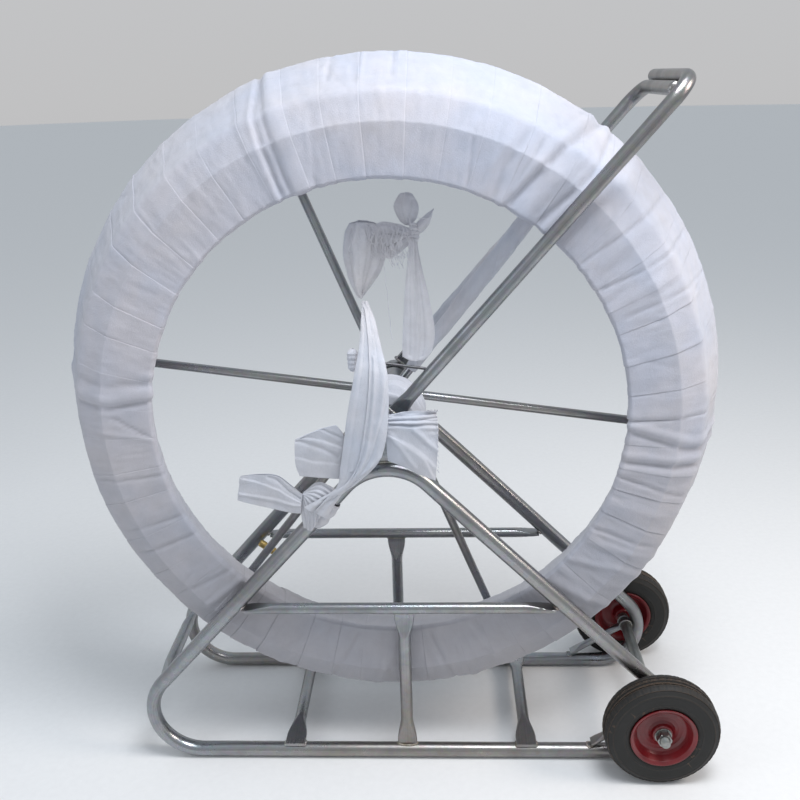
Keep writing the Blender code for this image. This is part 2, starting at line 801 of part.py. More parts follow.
# Brass pulling head of the rod, parked under the end of the back brace.
head_dir = Vector((0.80, 0.0, -0.60))
head_mid = Vector((-0.336, FRAME_Y - 0.030, 0.372))
head_side = head_dir.cross(Vector((0, 1, 0)))
head_rings = []
for s, radius in ((-0.030, 0.007), (-0.026, 0.010), (0.012, 0.010), (0.024, 0.008), (0.030, 0.004)):
    middle = head_mid + head_dir * s
    head_rings.append(section_ring(middle, Vector((0, 1, 0)), head_side, radius, radius, 12))
add_part("rod_head", skin(head_rings), "brass")
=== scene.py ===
"""Looks of the wheeled duct-rod reel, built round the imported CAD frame."""
import json
import math

import bmesh
import bpy
import numpy as np
from mathutils import Matrix, Vector


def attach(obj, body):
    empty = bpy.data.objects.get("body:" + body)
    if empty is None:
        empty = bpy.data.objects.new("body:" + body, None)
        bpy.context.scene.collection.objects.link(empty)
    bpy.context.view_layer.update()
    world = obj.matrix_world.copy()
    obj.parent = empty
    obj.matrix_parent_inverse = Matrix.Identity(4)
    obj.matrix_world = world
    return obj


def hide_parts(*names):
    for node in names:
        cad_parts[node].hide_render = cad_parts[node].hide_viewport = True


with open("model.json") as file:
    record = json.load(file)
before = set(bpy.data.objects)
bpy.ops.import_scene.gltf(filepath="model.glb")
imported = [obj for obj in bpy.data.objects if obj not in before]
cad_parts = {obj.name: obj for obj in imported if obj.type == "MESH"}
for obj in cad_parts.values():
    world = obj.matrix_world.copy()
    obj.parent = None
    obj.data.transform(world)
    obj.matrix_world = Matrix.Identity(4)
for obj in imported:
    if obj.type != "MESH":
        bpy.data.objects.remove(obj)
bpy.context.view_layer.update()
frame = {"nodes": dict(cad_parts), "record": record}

JOINTS = {j["name"]: j for j in frame["record"]["behaviour"]["joints"]}
HUB = np.array(JOINTS["reel_spin"]["pos_m"], float)
AXLE = {
    "front": np.array(JOINTS["wheel_front_spin"]["pos_m"], float),
    "back": np.array(JOINTS["wheel_back_spin"]["pos_m"], float),
}
HUB_Z = HUB[2]

# --- sizes of the frame, in metres, as the CAD part has them --------------------------
FRAME_Y = 0.180
TUBE_R = 0.017
RUN_Z = TUBE_R * math.cos(math.pi / 12)
TOP_OF_RUN = 2 * RUN_Z
LEFT_FOOT = (-0.7086, RUN_Z)
RIGHT_FOOT = (0.7718, RUN_Z)
APEX = (-0.0085, 0.789)
NOSE_R, HEEL_R, APEX_R = 0.110, 0.102, 0.120
BRACE_Z, BRACE_R = 0.3985, 0.0125
POST_R = 0.0140
POST_X = {-1: 0.024, 1: -0.008}
BASE_BAR_R = 0.0140
BASE_BARS = {"left": -0.241, "right": 0.302}
NOSE_BAR_ANGLE = math.radians(144.0)
AXLE_R, STUB_R = 0.0135, 0.0100
STAY_FOOT_X, STAY_R = 0.452, 0.0090
SPOKE_R, SPOKE_Y, SPOKE_END = 0.0100, 0.050, 0.7085
SPOKES = [math.radians(-8.0 + 60.0 * k) for k in range(6)]
SHAFT_R, SHAFT_HALF = 0.0125, 0.216
BARREL_R = 0.034
HANDLE_R, HANDLE_BEND_R, BAR_PITCH = 0.0140, 0.055, 0.0285
HANDLE_FOOT = np.array((0.0170, 0.0, 0.8602))
HANDLE_TOP = np.array((0.5780, 0.0, 1.5030))
HOUSING_R, HOUSING_HALF, PLATE_T = 0.033, 0.015, 0.008

Y_AXIS = np.array((0.0, 1.0, 0.0))
TAU = 2 * math.pi


# --- small maths -----------------------------------------------------------------------
def unit(v):
    v = np.asarray(v, float)
    return v / np.linalg.norm(v, axis=-1, keepdims=True)


def lattice(ix, iy, seed):
    """Repeatable pseudo-random value in -1..1 for integer grid points."""
    h = (ix.astype(np.int64) * 374761393 + iy.astype(np.int64) * 668265263 + seed * 974634777) & 0xFFFFFFFF
    h = ((h ^ (h >> 13)) * 1274126177) & 0xFFFFFFFF
    return ((h ^ (h >> 16)) & 0xFFFF) / 32767.5 - 1.0


def noise(x, y, seed=0, period=None):
    """Smooth value noise; period wraps x."""
    x, y = np.broadcast_arrays(np.asarray(x, float), np.asarray(y, float))
    ix, iy = np.floor(x), np.floor(y)
    fx, fy = x - ix, y - iy
    fx, fy = fx * fx * (3 - 2 * fx), fy * fy * (3 - 2 * fy)
    x0, x1 = (ix, ix + 1) if period is None else (ix % period, (ix + 1) % period)
    low = lattice(x0, iy, seed) * (1 - fx) + lattice(x1, iy, seed) * fx
    high = lattice(x0, iy + 1, seed) * (1 - fx) + lattice(x1, iy + 1, seed) * fx
    return low * (1 - fy) + high * fy


def fbm(x, y, seed=0, octaves=4):
    total, size = 0.0, 1.0
    for k in range(octaves):
        total = total + size * noise(x * 2**k, y * 2**k, seed + 17 * k)
        size *= 0.5
    return total / 1.8


def bump(t, width):
    return np.exp(-((t / width) ** 2))


def mm(points):
    """Points written in millimetres, as metres."""
    return np.array(points, float) * 0.001


def smoothstep(a, b, x):
    t = np.clip((x - a) / (b - a), 0, 1)
    return t * t * (3 - 2 * t)


def circle(steps):
    """Angles once round."""
    return TAU * np.arange(steps) / steps


def short_way(turn):
    """The same turn taken the short way round, within half a turn either side of 0."""
    return (turn + math.pi) % TAU - math.pi


def arc(centre, radius, start, end, steps):
    a = np.linspace(start, end, steps + 1)
    return np.stack([centre[0] + radius * np.cos(a), centre[1] + radius * np.sin(a)], 1)


def round_corner(before, corner, after, radius, steps):
    """Arc that replaces a corner of a 2-D outline, and its centre."""
    before, corner, after = (np.array(p, float) for p in (before, corner, after))
    a, b = unit(before - corner), unit(after - corner)
    half = math.acos(float(np.clip(a @ b, -1, 1))) / 2
    centre = corner + unit(a + b) * (radius / math.sin(half))
    s, e = corner + a * (radius / math.tan(half)) - centre, corner + b * (radius / math.tan(half)) - centre
    start = math.atan2(s[1], s[0])
    turn = short_way(math.atan2(e[1], e[0]) - start)
    return arc(centre, radius, start, start + turn, steps), centre


def strut_x(z, left):
    foot = LEFT_FOOT[0] if left else RIGHT_FOOT[0]
    return foot + (APEX[0] - foot) * (z - RUN_Z) / (APEX[1] - RUN_Z)


def catmull(points, t):
    """Catmull-Rom curve through the first axis of points, at t in 0..1."""
    p = np.asarray(points, float)
    n = len(p)
    x = np.clip(np.asarray(t, float), 0, 1) * (n - 1)
    i = np.minimum(np.floor(x).astype(int), n - 2)
    f = (x - i).reshape((-1,) + (1,) * (p.ndim - 1))
    ext = np.concatenate([2 * p[:1] - p[1:2], p, 2 * p[-1:] - p[-2:-1]])
    p0, p1, p2, p3 = ext[i], ext[i + 1], ext[i + 2], ext[i + 3]
    square, cube = 2 * p0 - 5 * p1 + 4 * p2 - p3, 3 * p1 - p0 - 3 * p2 + p3
    return 0.5 * (2 * p1 + (p2 - p0) * f + square * f**2 + cube * f**3)


# --- meshes ------------------------------------------------------------------------------
def grid_data(points, wrap_u=False, wrap_v=False, us=None, vs=None, caps=False):
    """Vertices, faces and per-corner UVs of a grid of points (rows along u, columns round v)."""
    points = np.asarray(points, float)
    nu, nv = points.shape[:2]
    us = np.arange(nu + 1, dtype=float) if us is None else np.append(us, 2 * us[-1] - us[-2])
    vs = np.arange(nv + 1, dtype=float) if vs is None else np.append(vs, 2 * vs[-1] - vs[-2])
    i, j = np.meshgrid(np.arange(nu if wrap_u else nu - 1), np.arange(nv if wrap_v else nv - 1),
                       indexing="ij")
    i, j = i.ravel(), j.ravel()
    corners = [(i, j), (i, j + 1), (i + 1, j + 1), (i + 1, j)]
    faces = np.stack([(a % nu) * nv + (b % nv) for a, b in corners], 1)
    uvs = np.stack([np.stack([us[a], vs[b]], 1) for a, b in corners], 1)
    faces, uvs = [list(map(int, f)) for f in faces], [list(map(tuple, c)) for c in uvs]
    if caps:
        for ring, flip in ((0, False), (nu - 1, True)):
            ids = [ring * nv + k for k in range(nv)]
            faces.append(ids[::-1] if not flip else ids)
            uvs.append([(us[ring], 0.0)] * nv)
    return points.reshape(-1, 3), faces, uvs


def merge(parts):
    """Join several (vertices, faces, uvs) into one."""
    verts, faces, uvs, base = [], [], [], 0
    for v, f, u in parts:
        verts.append(np.asarray(v))
        faces += [[k + base for k in face] for face in f]
        uvs += u
        base += len(v)
    return np.concatenate(verts), faces, uvs


def piece(name, data, material, body, nodes=(), sharp=40.0):
    """Make an object from mesh data that rides on a body, in place of some CAD nodes."""
    verts, faces, uvs = data
    mesh = bpy.data.meshes.new(name)
    mesh.from_pydata([tuple(v) for v in verts], [], faces)
    layer = mesh.uv_layers.new(name="UVMap")
    flat = np.array([c for f in uvs for c in f], float).ravel()
    layer.data.foreach_set("uv", flat)
    mesh.validate()
    fix_normals(mesh)
    mesh.materials.append(material)
    mesh.shade_smooth()
    if sharp:
        mesh.set_sharp_from_angle(angle=math.radians(sharp))
    made = bpy.data.objects.new(name, mesh)
    bpy.context.collection.objects.link(made)
    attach(made, body)
    if nodes:
        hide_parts(*nodes)
    return made


def fix_normals(mesh):
    work = bmesh.new()
    work.from_mesh(mesh)
    bmesh.ops.recalc_face_normals(work, faces=work.faces)
    work.to_mesh(mesh)
    work.free()


def cloth_piece(name, data, material, body, nodes=(), thickness=0.0008):
    """A cloth: its surface from mesh data, thickened equally to both sides."""
    made = piece(name, data, material, body, nodes, sharp=0)
    shell = made.modifiers.new("thickness", "SOLIDIFY")
    shell.thickness = thickness
    shell.offset = 0.0
    shell.use_even_offset = False
    return made


def turned(name, profile, centre, sides, material, body, slot, node, sharp=50, **how):
    return piece(name, revolve_data(profile, centre, sides, **how), material, body, [node], sharp)


def stand_tube(name, data, node):
    return piece(name, data, TUBE, "stand", [node])


# --- tubes ---------------------------------------------------------------------------------
def path_frames(path, normal, closed):
    path = np.asarray(path, float)
    ahead = np.roll(path, -1, 0) - path
    behind = path - np.roll(path, 1, 0)
    if not closed:
        ahead[-1], behind[0] = behind[-1], ahead[0]
    a, b = unit(ahead), unit(behind)
    tangent = unit(a + b)
    side = unit(np.cross(tangent, np.asarray(normal, float)))
    mitre = 1.0 / np.clip((tangent * a).sum(1), 0.3, 1)
    steps = np.linalg.norm(np.diff(path, axis=0), axis=1)
    return tangent, side, mitre, np.concatenate([[0.0], np.cumsum(steps)])


def fine_path(points, step):
    """Resample a polyline, keeping its corners."""
    points = np.asarray(points, float)
    out = [points[0]]
    for a, b in zip(points[:-1], points[1:]):
        n = max(1, int(np.ceil(np.linalg.norm(b - a) / step)))
        out += [a + (b - a) * k / n for k in range(1, n + 1)]
    return np.array(out)


def tube_data(path, normal, radius, sides=32, closed=False, start=None, end=None, wide_side=True, oval=None,
              dome=()):
    """Round tube along a path in one plane.

    start and end press that end flat: (half width, half thickness, flat, flare).
    wide_side puts the width of the flats in the path's plane, else along the normal.
    oval is how much each station is squeezed in the plane. dome closes ends round.
    """
    path = np.asarray(path, float)
    normal = unit(normal)
    _, side, mitre, along = path_frames(path, normal, closed)
    angle = circle(sides)
    cu, cv = np.cos(angle), np.sin(angle)
    rows = []
    total = along[-1]
    for i, s in enumerate(along):
        half, width = radius, radius
        for press, distance in ((start, s), (end, total - s)):
            if press is None or closed:
                continue
            w, t, flat, flare = press
            x = float(np.clip((flat + flare - distance) / flare, 0, 1))
            if x > 0:
                half = radius + (t - radius) * (1 - (1 - x) ** 1.15)
                width = radius + (w - radius) * smoothstep(0, 1, x) ** 0.8
        shrink = 1.0
        for tag, distance in (("start", s), ("end", total - s)):
            if tag in dome:
                x = np.clip(1 - distance / (0.6 * radius), 0, 1)
                shrink *= math.sqrt(max(0.02, 1 - float(x) ** 2.4))
        wide = cu * width
        thin = cv * radius
        if half < radius:
            limit = half * np.sqrt(np.clip(1 - (0.45 * np.abs(cu)) ** 6, 0, 1))
            soft = 0.0004
            excess = np.abs(thin) - limit
            thin = np.sign(thin) * (np.abs(thin) - 0.5 * (excess + np.sqrt(excess**2 + soft**2)))
        squeeze = 1.0 if oval is None else 1.0 - oval[i]
        if wide_side:
            a, b = wide * shrink * mitre[i] * squeeze, thin * shrink / squeeze
        else:
            a, b = thin * shrink * mitre[i] * squeeze, wide * shrink / squeeze
        rows.append(path[i] + side[i] * a[:, None] + normal * b[:, None])
    return grid_data(rows, wrap_u=closed, wrap_v=True, us=along, vs=angle * radius, caps=not closed)


def bead(path, radius, closed=False, seed=1):
    """Lumpy weld bead along a path."""
    path = fine_path(np.vstack([path, path[:1]]) if closed else path, radius * 0.35)
    if closed:
        path = path[:-1]
    along = np.arange(len(path)) * radius * 0.35
    tangent = unit(np.gradient(path, axis=0))
    helper = np.where(np.abs(tangent[:, 2:3]) > 0.9, np.array([[1.0, 0, 0]]), np.array([[0, 0, 1.0]]))
    side = unit(np.cross(tangent, helper))
    up = np.cross(tangent, side)
    waves = 0.22 * np.abs(np.sin(along / (radius * 1.1) * math.pi / 2))
    ripple = 0.80 + waves + 0.16 * noise(along * 160, seed * 3.1, seed)
    if not closed:
        ends = np.clip(np.minimum(along, along[-1] - along) / radius, 0, 1)
        ripple = ripple * np.sqrt(0.12 + 0.88 * ends)
    angle = circle(8)
    ring = side[:, None] * np.cos(angle)[None, :, None] + up[:, None] * np.sin(angle)[None, :, None]
    points = path[:, None] + ring * (radius * ripple)[:, None, None]
    return grid_data(points, wrap_u=closed, wrap_v=True, caps=not closed)


def onto_tube(points, centre, axis, radius):
    """Move points straight out from a tube's axis onto its surface."""
    axis = unit(axis)
    rel = np.asarray(points, float) - np.asarray(centre, float)
    along = rel @ axis
    out = rel - along[:, None] * axis
    return np.asarray(centre) + along[:, None] * axis + unit(out) * radius


def ellipse(centre, a, b, steps=40):
    t = circle(steps)
    return np.asarray(centre) + np.cos(t)[:, None] * np.asarray(a) + np.sin(t)[:, None] * np.asarray(b)


def revolve_data(profile, centre, sides, closed_profile=True, wobble=None):
    """Turn a (radius, y) profile about a line along Y; wobble(angle, row) moves radii."""
    profile = np.asarray(profile, float)
    angle = circle(sides)
    r = np.repeat(profile[None, :, 0], sides, 0)
    y = np.repeat(profile[None, :, 1], sides, 0)
    if wobble is not None:
        r, y = wobble(angle[:, None], r, y)
    x, z = r * np.cos(angle)[:, None], r * np.sin(angle)[:, None]
    points = np.stack([centre[0] + x, centre[1] + y, centre[2] + z], 2)
    along = np.concatenate([[0], np.cumsum(np.linalg.norm(np.diff(profile, axis=0), axis=1))])
    mean = float(profile[:, 0].mean())
    return grid_data(points, wrap_u=True, wrap_v=closed_profile, us=angle * mean, vs=along)


def rounded(profile, radius, closed=True, steps=4):
    """Round the corners of a 2-D polyline; radius may be one number or one a corner."""
    pts = [np.array(p, float) for p in profile]
    n = len(pts)
    radii = [radius] * n if np.isscalar(radius) else list(radius)
    out = []
    for i, p in enumerate(pts):
        if (not closed and i in (0, n - 1)) or radii[i] <= 0:
            out.append(p)
            continue
        a, b = pts[i - 1] - p, pts[(i + 1) % n] - p
        la, lb = np.linalg.norm(a), np.linalg.norm(b)
        ua, ub = a / la, b / lb
        half = math.acos(float(np.clip(ua @ ub, -1, 1))) / 2
        if half > math.pi / 2 - 0.01:
            out.append(p)
            continue
        cut = min(radii[i] / math.tan(half), 0.45 * la, 0.45 * lb)
        start, end = p + ua * cut, p + ub * cut
        for k in range(steps + 1):
            t = k / steps
            out.append((1 - t) ** 2 * start + 2 * t * (1 - t) * p + t**2 * end)
    return np.array(out)


# --- materials --------------------------------------------------------------------------------
class Nodes:
    """Short hand for building one material's node tree."""

    def __init__(self, name):
        self.material = bpy.data.materials.new(name)
        self.material.use_nodes = True
        self.tree = self.material.node_tree
        self.shader = self.tree.nodes["Principled BSDF"]

    def add(self, kind, links=(), **settings):
        made = self.tree.nodes.new(kind)
        for key, value in settings.items():
            if key in made.inputs:
                made.inputs[key].default_value = value
            else:
                setattr(made, key, value)
        for socket, source in dict(links).items():
            self.tree.links.new(source, made.inputs[socket])
        return made

    def coords(self, kind, scale=(1.0, 1.0, 1.0), turn=(0.0, 0.0, 0.0)):
        source = self.add("ShaderNodeTexCoord").outputs[kind]
        return self.add("ShaderNodeMapping", {"Vector": source}, Scale=scale,
                        Rotation=turn).outputs["Vector"]

    def noise(self, vector, scale, detail=3.0, rough=0.55, distortion=0.0):
        made = self.add("ShaderNodeTexNoise", {"Vector": vector}, Scale=scale, Detail=detail,
                        Roughness=rough, Distortion=distortion)
        return made.outputs["Fac"]

    def point(self):
        """How far the surface bulges out or in, about 0.5 where it is flat."""
        return self.add("ShaderNodeNewGeometry").outputs["Pointiness"]

    def ramp(self, fac, stops):
        made = self.add("ShaderNodeValToRGB", {"Fac": fac})
        elements = made.color_ramp.elements
        while len(elements) < len(stops):
            elements.new(0.5)
        for element, (place, colour) in zip(elements, stops):
            element.position = place
            element.color = (*colour, 1.0) if hasattr(colour, "__len__") else (colour, colour, colour, 1.0)
        return made.outputs["Color"]

    def mix(self, fac, a, b, blend="MIX"):
        made = self.add("ShaderNodeMix", data_type="RGBA", blend_type=blend)
        for socket, value in ((0, fac), (6, a), (7, b)):
            if hasattr(value, "is_output"):
                self.tree.links.new(value, made.inputs[socket])
            elif socket == 0:
                made.inputs[0].default_value = value
            else:
                made.inputs[socket].default_value = (*value, 1.0)
        return made.outputs[2]

    def span(self, fac, low, high, out_low, out_high):
        made = self.add("ShaderNodeMapRange", {"Value": fac})
        for socket, value in (("From Min", low), ("From Max", high), ("To Min", out_low),
                              ("To Max", out_high)):
            made.inputs[socket].default_value = value
        return made.outputs["Result"]

    def sum(self, a, b, gain=1.0):
        made = self.add("ShaderNodeMath", operation="MULTIPLY_ADD")
        self.tree.links.new(b, made.inputs[0])
        made.inputs[1].default_value = gain
        self.tree.links.new(a, made.inputs[2])
        return made.outputs[0]

    def finish(self, colour=None, roughness=None, height=None, depth=0.001, strength=0.5, **fixed):
        if colour is not None:
            self.tree.links.new(colour, self.shader.inputs["Base Color"])
        if roughness is not None:
            self.tree.links.new(roughness, self.shader.inputs["Roughness"])
        if height is not None:
            made = self.add("ShaderNodeBump", {"Height": height}, Strength=strength, Distance=depth)
            self.tree.links.new(made.outputs["Normal"], self.shader.inputs["Normal"])
        for key, value in fixed.items():
            self.shader.inputs[key.replace("_", " ")].default_value = value
        return self.material


def metal(name, dark, light, rough, drawn=False, warm=0.0, spangle=0.35, grime=0.5, metallic=1.0):
    """Zinc or steel: streaks, crystal spangle, dull patches, grime, and a warm tint that is painted
    reflection of a brown ground.
    """
    n = Nodes(name)
    space = n.coords("Object")
    lines = n.coords("UV", (2.5, 300.0, 1.0)) if drawn else n.coords("Object", (40.0, 7.0, 40.0))
    streak = n.noise(lines, 1.0 if drawn else 3.0, 4.0, 0.6)
    crystal = n.add("ShaderNodeTexVoronoi", {"Vector": space}, Scale=110.0)
    patches = n.noise(space, 5.5, 5.0, 0.62, 0.6)
    specks = n.noise(space, 260.0, 3.0, 0.6)
    broad = n.noise(space, 1.3, 2.0, 0.5)
    base = n.ramp(streak, [(0.30, dark), (0.72, light)])
    base = n.mix(spangle * 0.35, base, crystal.outputs["Color"], "SOFT_LIGHT")
    dull = n.ramp(patches, [(0.42, 1.0), (0.66, 0.72)])
    base = n.mix(0.85, base, dull, "MULTIPLY")
    # warm paints a reflection of a brown ground into the colour, in broad random patches.
    if warm:
        painted_ground_reflection = n.ramp(broad, [(0.42, (1.0, 1.0, 1.0)), (0.60, (0.98, 0.86, 0.75))])
        base = n.mix(warm, base, painted_ground_reflection, "MULTIPLY")
    spots = n.ramp(specks, [(0.60, 0.0), (0.74, 1.0)])
    base = n.mix(n.span(spots, 0.0, 1.0, 0.0, grime * 0.5), base, (0.16, 0.15, 0.14))
    shine = n.sum(n.span(patches, 0.3, 0.7, rough - 0.07, rough + 0.13), streak, 0.10)
    height = n.sum(n.sum(specks, streak, 0.7), patches, 1.4)
    return n.finish(base, shine, height, 0.0006, 0.35, Metallic=metallic)


def cloth(name, cool, warm, scale=1.0, dirt=0.35, low=0.0):
    """Thin non-woven packing cloth: fibres, faint weave, soft blotches, dust, painted shade in the creases
    and, with low set, painted shade with some dust towards the bottom.
    """
    n = Nodes(name)
    space = n.coords("Object")
    fibre_a = n.noise(n.coords("Object", (900.0, 260.0, 260.0), (0.3, 0.5, 0.2)), 1.0, 3.0, 0.7)
    fibre_b = n.noise(n.coords("Object", (240.0, 260.0, 900.0), (0.9, 0.2, 0.4)), 1.0, 3.0, 0.7)
    weave = n.noise(space, 420.0 * scale, 2.0, 0.5)
    blotch = n.noise(space, 3.2, 4.0, 0.6, 0.4)
    fine = n.noise(space, 26.0, 5.0, 0.65)
    tone = n.ramp(blotch, [(0.36, cool), (0.66, warm)])
    shade = n.ramp(fine, [(0.30, 0.90), (0.66, 1.0)])
    tone = n.mix(1.0, tone, shade, "MULTIPLY")
    # Painted shade in the creases and a faint painted highlight on the ridges, by pointiness.
    crease_shade = n.ramp(n.point(), [(0.42, 0.60), (0.50, 1.0), (0.58, 1.06)])
    tone = n.mix(0.85, tone, crease_shade, "MULTIPLY")
    threads = n.ramp(n.sum(fibre_a, fibre_b, 1.0), [(0.45, 0.90), (0.95, 1.03)])
    tone = n.mix(0.8, tone, threads, "MULTIPLY")
    dust = n.ramp(n.noise(space, 9.0, 6.0, 0.7, 0.5), [(0.56, 0.0), (0.80, 1.0)])
    tone = n.mix(n.span(dust, 0.0, 1.0, 0.0, dirt), tone, (0.50, 0.47, 0.45))
    # Painted shade with some dust: the cloth goes darker towards the bottom by object height, for the shade
    # near the floor; low sets how dark.
    if low:
        split = n.add("ShaderNodeSeparateXYZ", {"Vector": space})
        depth = n.span(n.sum(split.outputs["Z"], blotch, 0.25), 0.25, 1.15, low, 0.0)
        tone = n.mix(depth, tone, (0.235, 0.215, 0.205))
    height = n.sum(n.sum(n.sum(fibre_a, fibre_b, 1.0), weave, 0.8), fine, 2.2)
    return n.finish(
        tone, n.span(blotch, 0.3, 0.7, 0.78, 0.92), height, 0.0009, 0.55,
        Sheen_Weight=0.25, Sheen_Roughness=0.6, Specular_IOR_Level=0.25,
    )


def rubber():
    n = Nodes("tyre_rubber_dusty")
    space = n.coords("Object")
    grain = n.noise(space, 320.0, 4.0, 0.65)
    patch = n.noise(space, 22.0, 5.0, 0.7)
    base = n.ramp(patch, [(0.35, (0.0065, 0.0065, 0.0062)), (0.70, (0.016, 0.0155, 0.0140))])
    edge = n.ramp(n.point(), [(0.505, 0.0), (0.56, 1.0)])
    edge = n.mix(1.0, edge, n.ramp(grain, [(0.35, 0.2), (0.65, 1.0)]), "MULTIPLY")
    base = n.mix(n.span(edge, 0.0, 1.0, 0.0, 0.55), base, (0.16, 0.095, 0.055))
    return n.finish(base, n.span(patch, 0.3, 0.7, 0.55, 0.78), n.sum(grain, patch, 1.5), 0.0006, 0.4)


def red_paint():
    n = Nodes("rim_red_paint")
    space = n.coords("Object")
    patch = n.noise(space, 14.0, 5.0, 0.65)
    orange_peel = n.noise(space, 210.0, 2.0, 0.5)
    base = n.ramp(patch, [(0.32, (0.100, 0.0022, 0.0042)), (0.68, (0.185, 0.0050, 0.0095))])
    dust = n.ramp(n.noise(space, 60.0, 6.0, 0.75), [(0.58, 0.0), (0.80, 1.0)])
    base = n.mix(n.span(dust, 0.0, 1.0, 0.0, 0.35), base, (0.13, 0.065, 0.050))
    worn = n.ramp(n.point(), [(0.54, 0.0), (0.62, 1.0)])
    base = n.mix(n.span(worn, 0.0, 1.0, 0.0, 0.4), base, (0.20, 0.06, 0.05))
    return n.finish(
        base, n.span(patch, 0.3, 0.7, 0.26, 0.44), n.sum(orange_peel, patch, 0.6), 0.0004, 0.35,
        Coat_Weight=0.35, Coat_Roughness=0.25,
    )


def plastic():
    n = Nodes("rod_jacket_amber")
    space = n.coords("Object")
    turns = n.add("ShaderNodeTexWave", {"Vector": n.coords("Object", (1.0, 60.0, 1.0))}, Scale=1.0)
    patch = n.noise(space, 12.0, 4.0, 0.6)
    base = n.ramp(patch, [(0.35, (0.60, 0.30, 0.03)), (0.65, (0.80, 0.46, 0.08))])
    return n.finish(base, n.span(patch, 0.3, 0.7, 0.4, 0.6), n.sum(patch, turns.outputs["Fac"], 1.0), 0.001,
                    0.5)


TUBE = metal("galvanised_tube", (0.30, 0.312, 0.328), (0.385, 0.40, 0.42), 0.23, drawn=True, warm=0.8,
             spangle=0.2)
CAST = metal("galvanised_plate", (0.24, 0.25, 0.265), (0.42, 0.435, 0.46), 0.32, warm=0.5, spangle=0.2)
WELD = metal("galvanised_weld", (0.30, 0.30, 0.30), (0.56, 0.56, 0.54), 0.42, warm=1.0, grime=1.0)
STEEL = metal("zinc_plated_steel", (0.24, 0.245, 0.235), (0.42, 0.425, 0.41), 0.24, spangle=0.1, grime=0.6)
DARK = metal("dark_steel_rod", (0.10, 0.10, 0.105), (0.22, 0.22, 0.23), 0.38, drawn=True, spangle=0.1)
BRASS = metal("turned_brass", (0.52, 0.36, 0.12), (0.78, 0.58, 0.24), 0.26, spangle=0.05, grime=0.7)
# low=0.62 paints shade, with some dust, on the lower part of the ring.
WRAP = cloth("wrap_cloth", (0.45, 0.478, 0.570), (0.52, 0.505, 0.545), dirt=0.22, low=0.62)
# SLEEVE and BUNCH are brighter copies of the same white cloth as SCRAP, for the parts that are lit more:
# painted light.
SCRAP = cloth("tie_cloth", (0.52, 0.55, 0.625), (0.58, 0.565, 0.585), scale=0.8, dirt=0.15)
SLEEVE = cloth("sleeve_cloth", (0.60, 0.64, 0.73), (0.68, 0.665, 0.70), scale=0.9, dirt=0.25)
BUNCH = cloth("bunch_cloth", (0.70, 0.73, 0.81), (0.78, 0.76, 0.78), scale=0.8, dirt=0.20)
RUBBER = rubber()
RED = red_paint()
JACKET = plastic()

# CAD pieces whose shape is already right keep it and get a better finish.
for cad_name, finish in (
    ("bearing_front", STEEL), ("bearing_back", STEEL), ("basket_ribs", CAST),
    ("hoop_front_outer", CAST), ("hoop_rim", CAST), ("rod_coil", JACKET),
):
    cad_node = frame["nodes"][cad_name]
    for holder in cad_node.material_slots:
        holder.material = finish


# --- camera, light and floor -------------------------------------------------------------------
def look():
    """Camera at the height and slant of a person standing close to the reel."""
    pitch, yaw, roll = 0.336, 0.0472, 0.0276
    ahead = Vector((0.0, math.cos(pitch), -math.sin(pitch)))
    down = Vector((0.0, -math.sin(pitch), -math.cos(pitch)))
    right = Vector((1.0, 0.0, 0.0))
    turn = Matrix.Rotation(yaw, 3, "Z")
    ahead, down, right = turn @ ahead, turn @ down, turn @ right
    right_r = right * math.cos(roll) + down * math.sin(roll)
    down_r = down * math.cos(roll) - right * math.sin(roll)
    data = bpy.data.cameras.new("camera")
    data.sensor_width = 36.0
    data.lens = 931.76 / 800.0 * 36.0
    data.clip_end = 200.0
    made = bpy.data.objects.new("camera", data)
    basis = Matrix((right_r, -down_r, -ahead)).transposed().to_4x4()
    made.matrix_world = Matrix.Translation((0.1133, -1.9827, 1.5195)) @ basis
    bpy.context.collection.objects.link(made)
    bpy.context.scene.camera = made


def soft_light(name, place, aim, size, power, colour):
    data = bpy.data.lights.new(name, "AREA")
    data.shape = "RECTANGLE"
    data.size, data.size_y = size
    data.energy = power
    data.color = colour
    made = bpy.data.objects.new(name, data)
    made.location = place
    made.rotation_mode = "QUATERNION"
    made.rotation_quaternion = (Vector(aim) - Vector(place)).to_track_quat("-Z", "Y")
    bpy.context.collection.objects.link(made)


